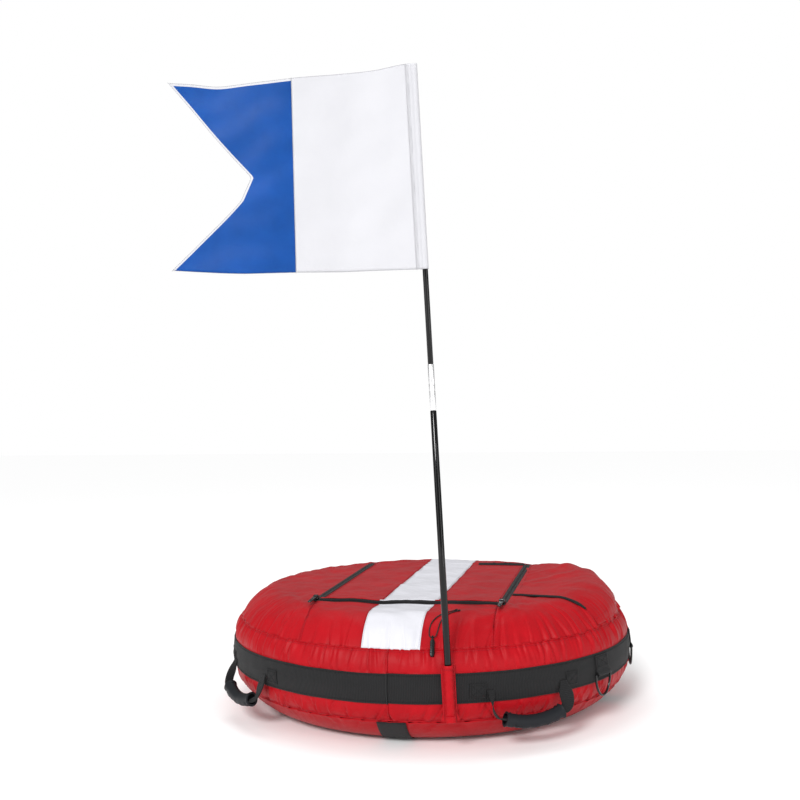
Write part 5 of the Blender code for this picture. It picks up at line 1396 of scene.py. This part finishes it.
class FLOAT_OT_rings(bpy.types.Operator):
    """Makes the four D-rings and the folded webbing tabs that hold them"""
    bl_idname = "float_build.rings"
    bl_label = "D-rings and tabs"

    def execute(self, context):
        loop = RING_WIRE + GAP + WEBBING
        bar_radius = float(band_radius(RING_BAR_HEIGHT)) + GAP + loop
        half, drop, corner = 0.027 - RING_WIRE, 0.042 - RING_WIRE, 0.0027
        # The straight bar, a rounded corner, the bow and the other corner
        outline = [(-half + corner, 0), (0, 0), (half - corner, 0)]
        outline += [(half - corner + corner * sin(a), -corner + corner * cos(a))
                    for a in np.linspace(0.3, pi / 2, 6)]
        outline += [(half * cos(a), -corner - (drop - corner) * sin(a))
                    for a in np.linspace(0.06, pi - 0.06, 40)]
        outline += [(corner - half - corner * cos(a), -corner + corner * sin(a))
                    for a in np.linspace(0, pi / 2 - 0.3, 6)]
        stitches = []
        for number, angle in enumerate(RING_ANGLES, 1):
            place = rim_place(angle, bar_radius, RING_BAR_HEIGHT)
            name = "d_ring_%d" % number
            dress(tube_object(name + "_wire", moved([(x, 0, z) for x, z in outline], place),
                              RING_WIRE, 14, METAL, facing(place, 0, 1, 0), loop=True), name, name)
            self.tab(number, angle, bar_radius, loop - 0.0006)
            stitches += box_stitch(angle, RING_BAR_HEIGHT + 0.0225, 0.0165, 0.0090, 0.0032)
        sew("ring_tab_stitches", stitches, "black")
        return {"FINISHED"}

    def tab(self, number, angle, bar_radius, reach):
        """Webbing folded round the ring's bar and sewn to the band in two layers."""
        bar_height, turn = RING_BAR_HEIGHT, np.linspace(pi * 0.97, 2 * pi + 0.55, 18)
        under = np.linspace(bar_height + 0.0338, bar_height + 0.003, 10)
        over = np.linspace(bar_height + 0.0075, bar_height + 0.0336, 10)
        radius = np.concatenate([band_radius(under) + 0.0009, bar_radius + reach * np.cos(turn),
                                 band_radius(over) + 0.0024])[:, None]
        z = np.concatenate([under, bar_height + reach * np.sin(turn), over])[:, None]
        x, on_band = np.linspace(-0.021, 0.021, 15), np.array([True] * 8 + [False] * 22 + [True] * 8)[:, None]
        rows = stacked(x, -np.where(on_band, np.sqrt(radius ** 2 - x * x), radius),
                       z + 0.0002 * np.sin(x * 700))
        name = "ring_tab_%d" % number
        dress(ribbon(name + "_webbing", moved(rows, rim_place(angle)), "woven_polypropylene", 0.0011),
              "float", name)


# The pull cord's two legs, from the cloth to its toggle
CORD_LEFT = ((0.1030, -0.2930), (0.0940, -0.3030), (0.0820, -0.3150), (0.0730, -0.3280), (0.0670, -0.3410),
             (0.0650, -0.3530))
CORD_RIGHT = ((0.0795, -0.3530), (0.0810, -0.3400), (0.0850, -0.3270), (0.0910, -0.3150), (0.1000, -0.3040),
              (0.1085, -0.2960))


class FLOAT_OT_cord(bpy.types.Operator):
    """Makes the pull cord, a loop over the front of the top, and its moulded toggle"""
    bl_idname = "float_build.cord"
    bl_label = "Pull cord"

    def execute(self, context):
        top, end = (Vector(over_top(x, y, 0.005)) for x, y in ((0.0722, -0.3640), (0.0738, -0.3840)))
        down = (end - top).normalized()
        side = down.cross(Vector((0.0722, -0.3640, FLOAT_RADIUS))).normalized()
        place = Matrix.Translation(top) @ Matrix((side, down, side.cross(down))).transposed().to_4x4()
        toggle = self.toggle(place)
        left, right = (over_top(*np.array(leg).T, 0.001 + 2 * GAP) for leg in (CORD_LEFT, CORD_RIGHT))
        # The cord's bend through the toggle's eye, whose own X runs to the left
        bend, flat = 0.0045, 0.0016
        corner = bend * cos(pi / 4)
        turn = [(flat + bend, -bend, 0), (flat + corner, corner - bend, 0), (flat, 0, 0)]
        turn += [(-x, y, z) for x, y, z in reversed(turn)]
        route = smooth_line(np.concatenate([left, moved(turn, place), right]), 44)
        cord = dress(tube_object("pull_cord_braid", route, 0.001, 12, "braided_polyester", up=(0.3, 0.2, 1)),
                     "float", "pull_cord")
        # A small knot where each end of the cord comes out of the cloth
        turn = circle(24)
        ring = stacked(0.0016 * np.cos(turn), 0.0016 * np.sin(turn), 0.0006 + 0.0006 * np.sin(2 * turn))
        knots = dress(join_pieces("cord_knots", [tube_object("knot", ring + centre, 0.0009, 10,
                                                             "braided_polyester", loop=True)
                                                 for centre in (left[0], right[-1])]))
        return {"FINISHED"}

    def toggle(self, place):
        outline = mirrored([(0.0016, -0.0032), (0.0018, 0.0026), (0.0030, 0.0052), (0.0040, 0.0075),
                            (0.0037, 0.0180), (0.0040, 0.0290), (0.0030, 0.0330), (0.0012, 0.0340)])
        parts = [plate(outline, -0.0028, 0.0028, "moulded_abs", place, 0.0011)]
        parts += [bar(0.0030, 0.0110 + 0.0040 * i, z, 0.0005, "moulded_abs", place)
                  for i in range(5) for z in (-0.0028, 0.0028)]
        return dress(join_pieces("cord_toggle_body", parts), "float", "cord_toggle")


class FLOAT_OT_tube(bpy.types.Operator):
    """Makes the inflated rubber tube inside the cover, with its mould seams, and finishes the valve"""
    bl_idname = "float_build.tube"
    bl_label = "Inner tube and valve"

    def execute(self, context):
        radii, heights = cover_point(np.linspace(pi / 2, -pi / 2, 60), -0.0046)
        low, high = heights[-1], heights[0]
        reach = 0.37 * BOTTOM_FLAT_RADIUS * 0.94
        inner = -pi / 2 - np.linspace(0, pi, 34)[1:-1]
        radii = np.concatenate([radii, BOTTOM_FLAT_RADIUS + reach * np.cos(inner)])
        heights = np.concatenate([heights, (low + high) / 2 + (high - low) / 2 * np.sin(inner)])
        # The mould's seam stands out as a fine line inside and outside
        radii += 0.0006 * bell(heights - RIM_HEIGHT, 0.0012) * np.where(radii > 0.3, 1, -1)
        rings, turn = np.append(np.arange(len(radii)), 0), circle(180)
        swell = 1 + 0.00048 * np.sin(turn * 7)
        points = round_points(turn, radii[rings, None] * swell, heights[rings, None])
        dress(outward(grid_object("inner_tube_rubber", points, "butyl_rubber", closed=True)),
              "float", "inner_tube")
        # The valve's stem keeps the frame's own brass
        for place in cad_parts["valve_cap"].material_slots:
            place.material = get_material("moulded_abs")
        return {"FINISHED"}


class FLOAT_OT_stage(bpy.types.Operator):
    """Makes the pale floor, the soft studio lights and the camera"""
    bl_idname = "float_build.stage"
    bl_label = "Stage, lights and camera"

    def execute(self, context):
        scene = context.scene
        # Matt white studio paper, with a grain that is only just seen
        _, tree, shader, _, local = start_material("studio_paper", Roughness=0.9, Specular_IOR_Level=0.0)
        grain = add_node(tree, "ShaderNodeTexNoise", {"Scale": 900, "Detail": 2}, {"Vector": local})
        tone = add_node(tree, "ShaderNodeMapRange", {"To Min": 0.985, "To Max": 1.0},
                        {"Value": grain.outputs["Fac"]})
        base = add_node(tree, "ShaderNodeHueSaturation", {"Color": (0.96, 0.96, 0.96, 1)},
                        {"Value": tone.outputs["Result"]})
        tree.links.new(base.outputs["Color"], shader.inputs["Base Color"])
        corners = [(x, y, -0.0008) for x, y in ((-9, -9), (9, -9), (9, 9), (-9, 9))]
        mesh_object("floor", corners, [(0, 1, 2, 3)], "studio_paper")
        scene.world = self.backdrop()
        scene.view_settings.view_transform = "Standard"
        for name, kind, place, aim, size, power in (
                ("key_light", "SUN", (-0.14, -0.90, 0.60), 0, radians(16), 2.15),
                ("top_softbox", "AREA", (-0.5, 0.6, 3.0), 0, (1.6, 1.6), 18),
                ("left_softbox", "AREA", (-1.5, -2.5, 1.0), 0.8, (1.0, 2.4), 13),
                ("right_softbox", "AREA", (2.3, -1.9, 1.0), 0.8, (0.7, 2.2), 20)):
            light = bpy.data.lights.new(name, kind)
            light.energy = power
            if kind == "SUN":
                light.angle = size
            else:
                light.shape = "RECTANGLE"
                light.size, light.size_y = size
            lamp = put_in_scene(name, light)
            lamp.location = place
            lamp.rotation_euler = (Vector((0, 0, aim)) - Vector(place)).to_track_quat("-Z", "Y").to_euler()
        camera = bpy.data.cameras.new("camera")
        camera.sensor_width = 36
        camera.lens = 50.31
        scene.camera = put_in_scene("camera", camera)
        right, up, back = (0.9776, 0.2098, -0.0184), (0.0167, 0.0100, 0.9998), (0.2098, -0.9777, 0.0063)
        scene.camera.rotation_euler = Matrix((right, up, back)).transposed().to_quaternion().to_euler()
        scene.camera.location = (0.4296, -2.2610, 0.6162)
        return {"FINISHED"}

    def backdrop(self):
        """White to the eye, softer as a light on the float and darker still in its reflections."""
        world = bpy.data.worlds.new("studio_white")
        world.use_nodes = True
        tree = world.node_tree
        sky = tree.nodes["Background"]
        sky.inputs["Color"].default_value = (1, 1, 1, 1)
        seen = add_node(tree, "ShaderNodeLightPath").outputs
        glow = add_node(tree, "ShaderNodeMapRange", {"To Min": 0.65, "To Max": 1.0},
                        {"Value": seen["Is Camera Ray"]})
        mirrored = add_node(tree, "ShaderNodeMath", {1: -0.35},
                            {0: seen["Is Glossy Ray"], 2: glow.outputs["Result"]},
                            operation="MULTIPLY_ADD")
        tree.links.new(mirrored.outputs["Value"], sky.inputs["Strength"])
        return world


class FLOAT_PT_panel(bpy.types.Panel):
    """Lists the float's sizes, colours and building steps"""
    bl_idname = "FLOAT_PT_panel"
    bl_label = "Dive flag float"
    bl_space_type = "VIEW_3D"
    bl_region_type = "UI"
    bl_category = "Float"

    def draw(self, context):
        for name in GROUPS:
            box = self.layout.box()
            for key in settings(name).__annotations__:
                box.prop(settings(name), key)
        for operator in OPERATORS:
            self.layout.operator(operator.bl_idname)


GROUPS = {"cover": CoverSettings, "trim": TrimSettings, "flag": FlagSettings}
OPERATORS = (FLOAT_OT_stage, FLOAT_OT_cord, FLOAT_OT_side, FLOAT_OT_band, FLOAT_OT_top, FLOAT_OT_lid,
             FLOAT_OT_zip, FLOAT_OT_sliders, FLOAT_OT_pocket, FLOAT_OT_sleeve, FLOAT_OT_poles,
             FLOAT_OT_flag, FLOAT_OT_handles, FLOAT_OT_rings, FLOAT_OT_tube)
CLASSES = tuple(GROUPS.values()) + OPERATORS + (FLOAT_PT_panel,)


def register():
    for one in CLASSES:
        bpy.utils.register_class(one)
    for name, group in GROUPS.items():
        setattr(bpy.types.Scene, "float_" + name, bpy.props.PointerProperty(type=group))


def unregister():
    for name in GROUPS:
        delattr(bpy.types.Scene, "float_" + name)
    for one in reversed(CLASSES):
        bpy.utils.unregister_class(one)


def main():
    register()
    for operator in OPERATORS:
        group, name = operator.bl_idname.split(".")
        getattr(getattr(bpy.ops, group), name)()


if __name__ == "__main__":
    main()
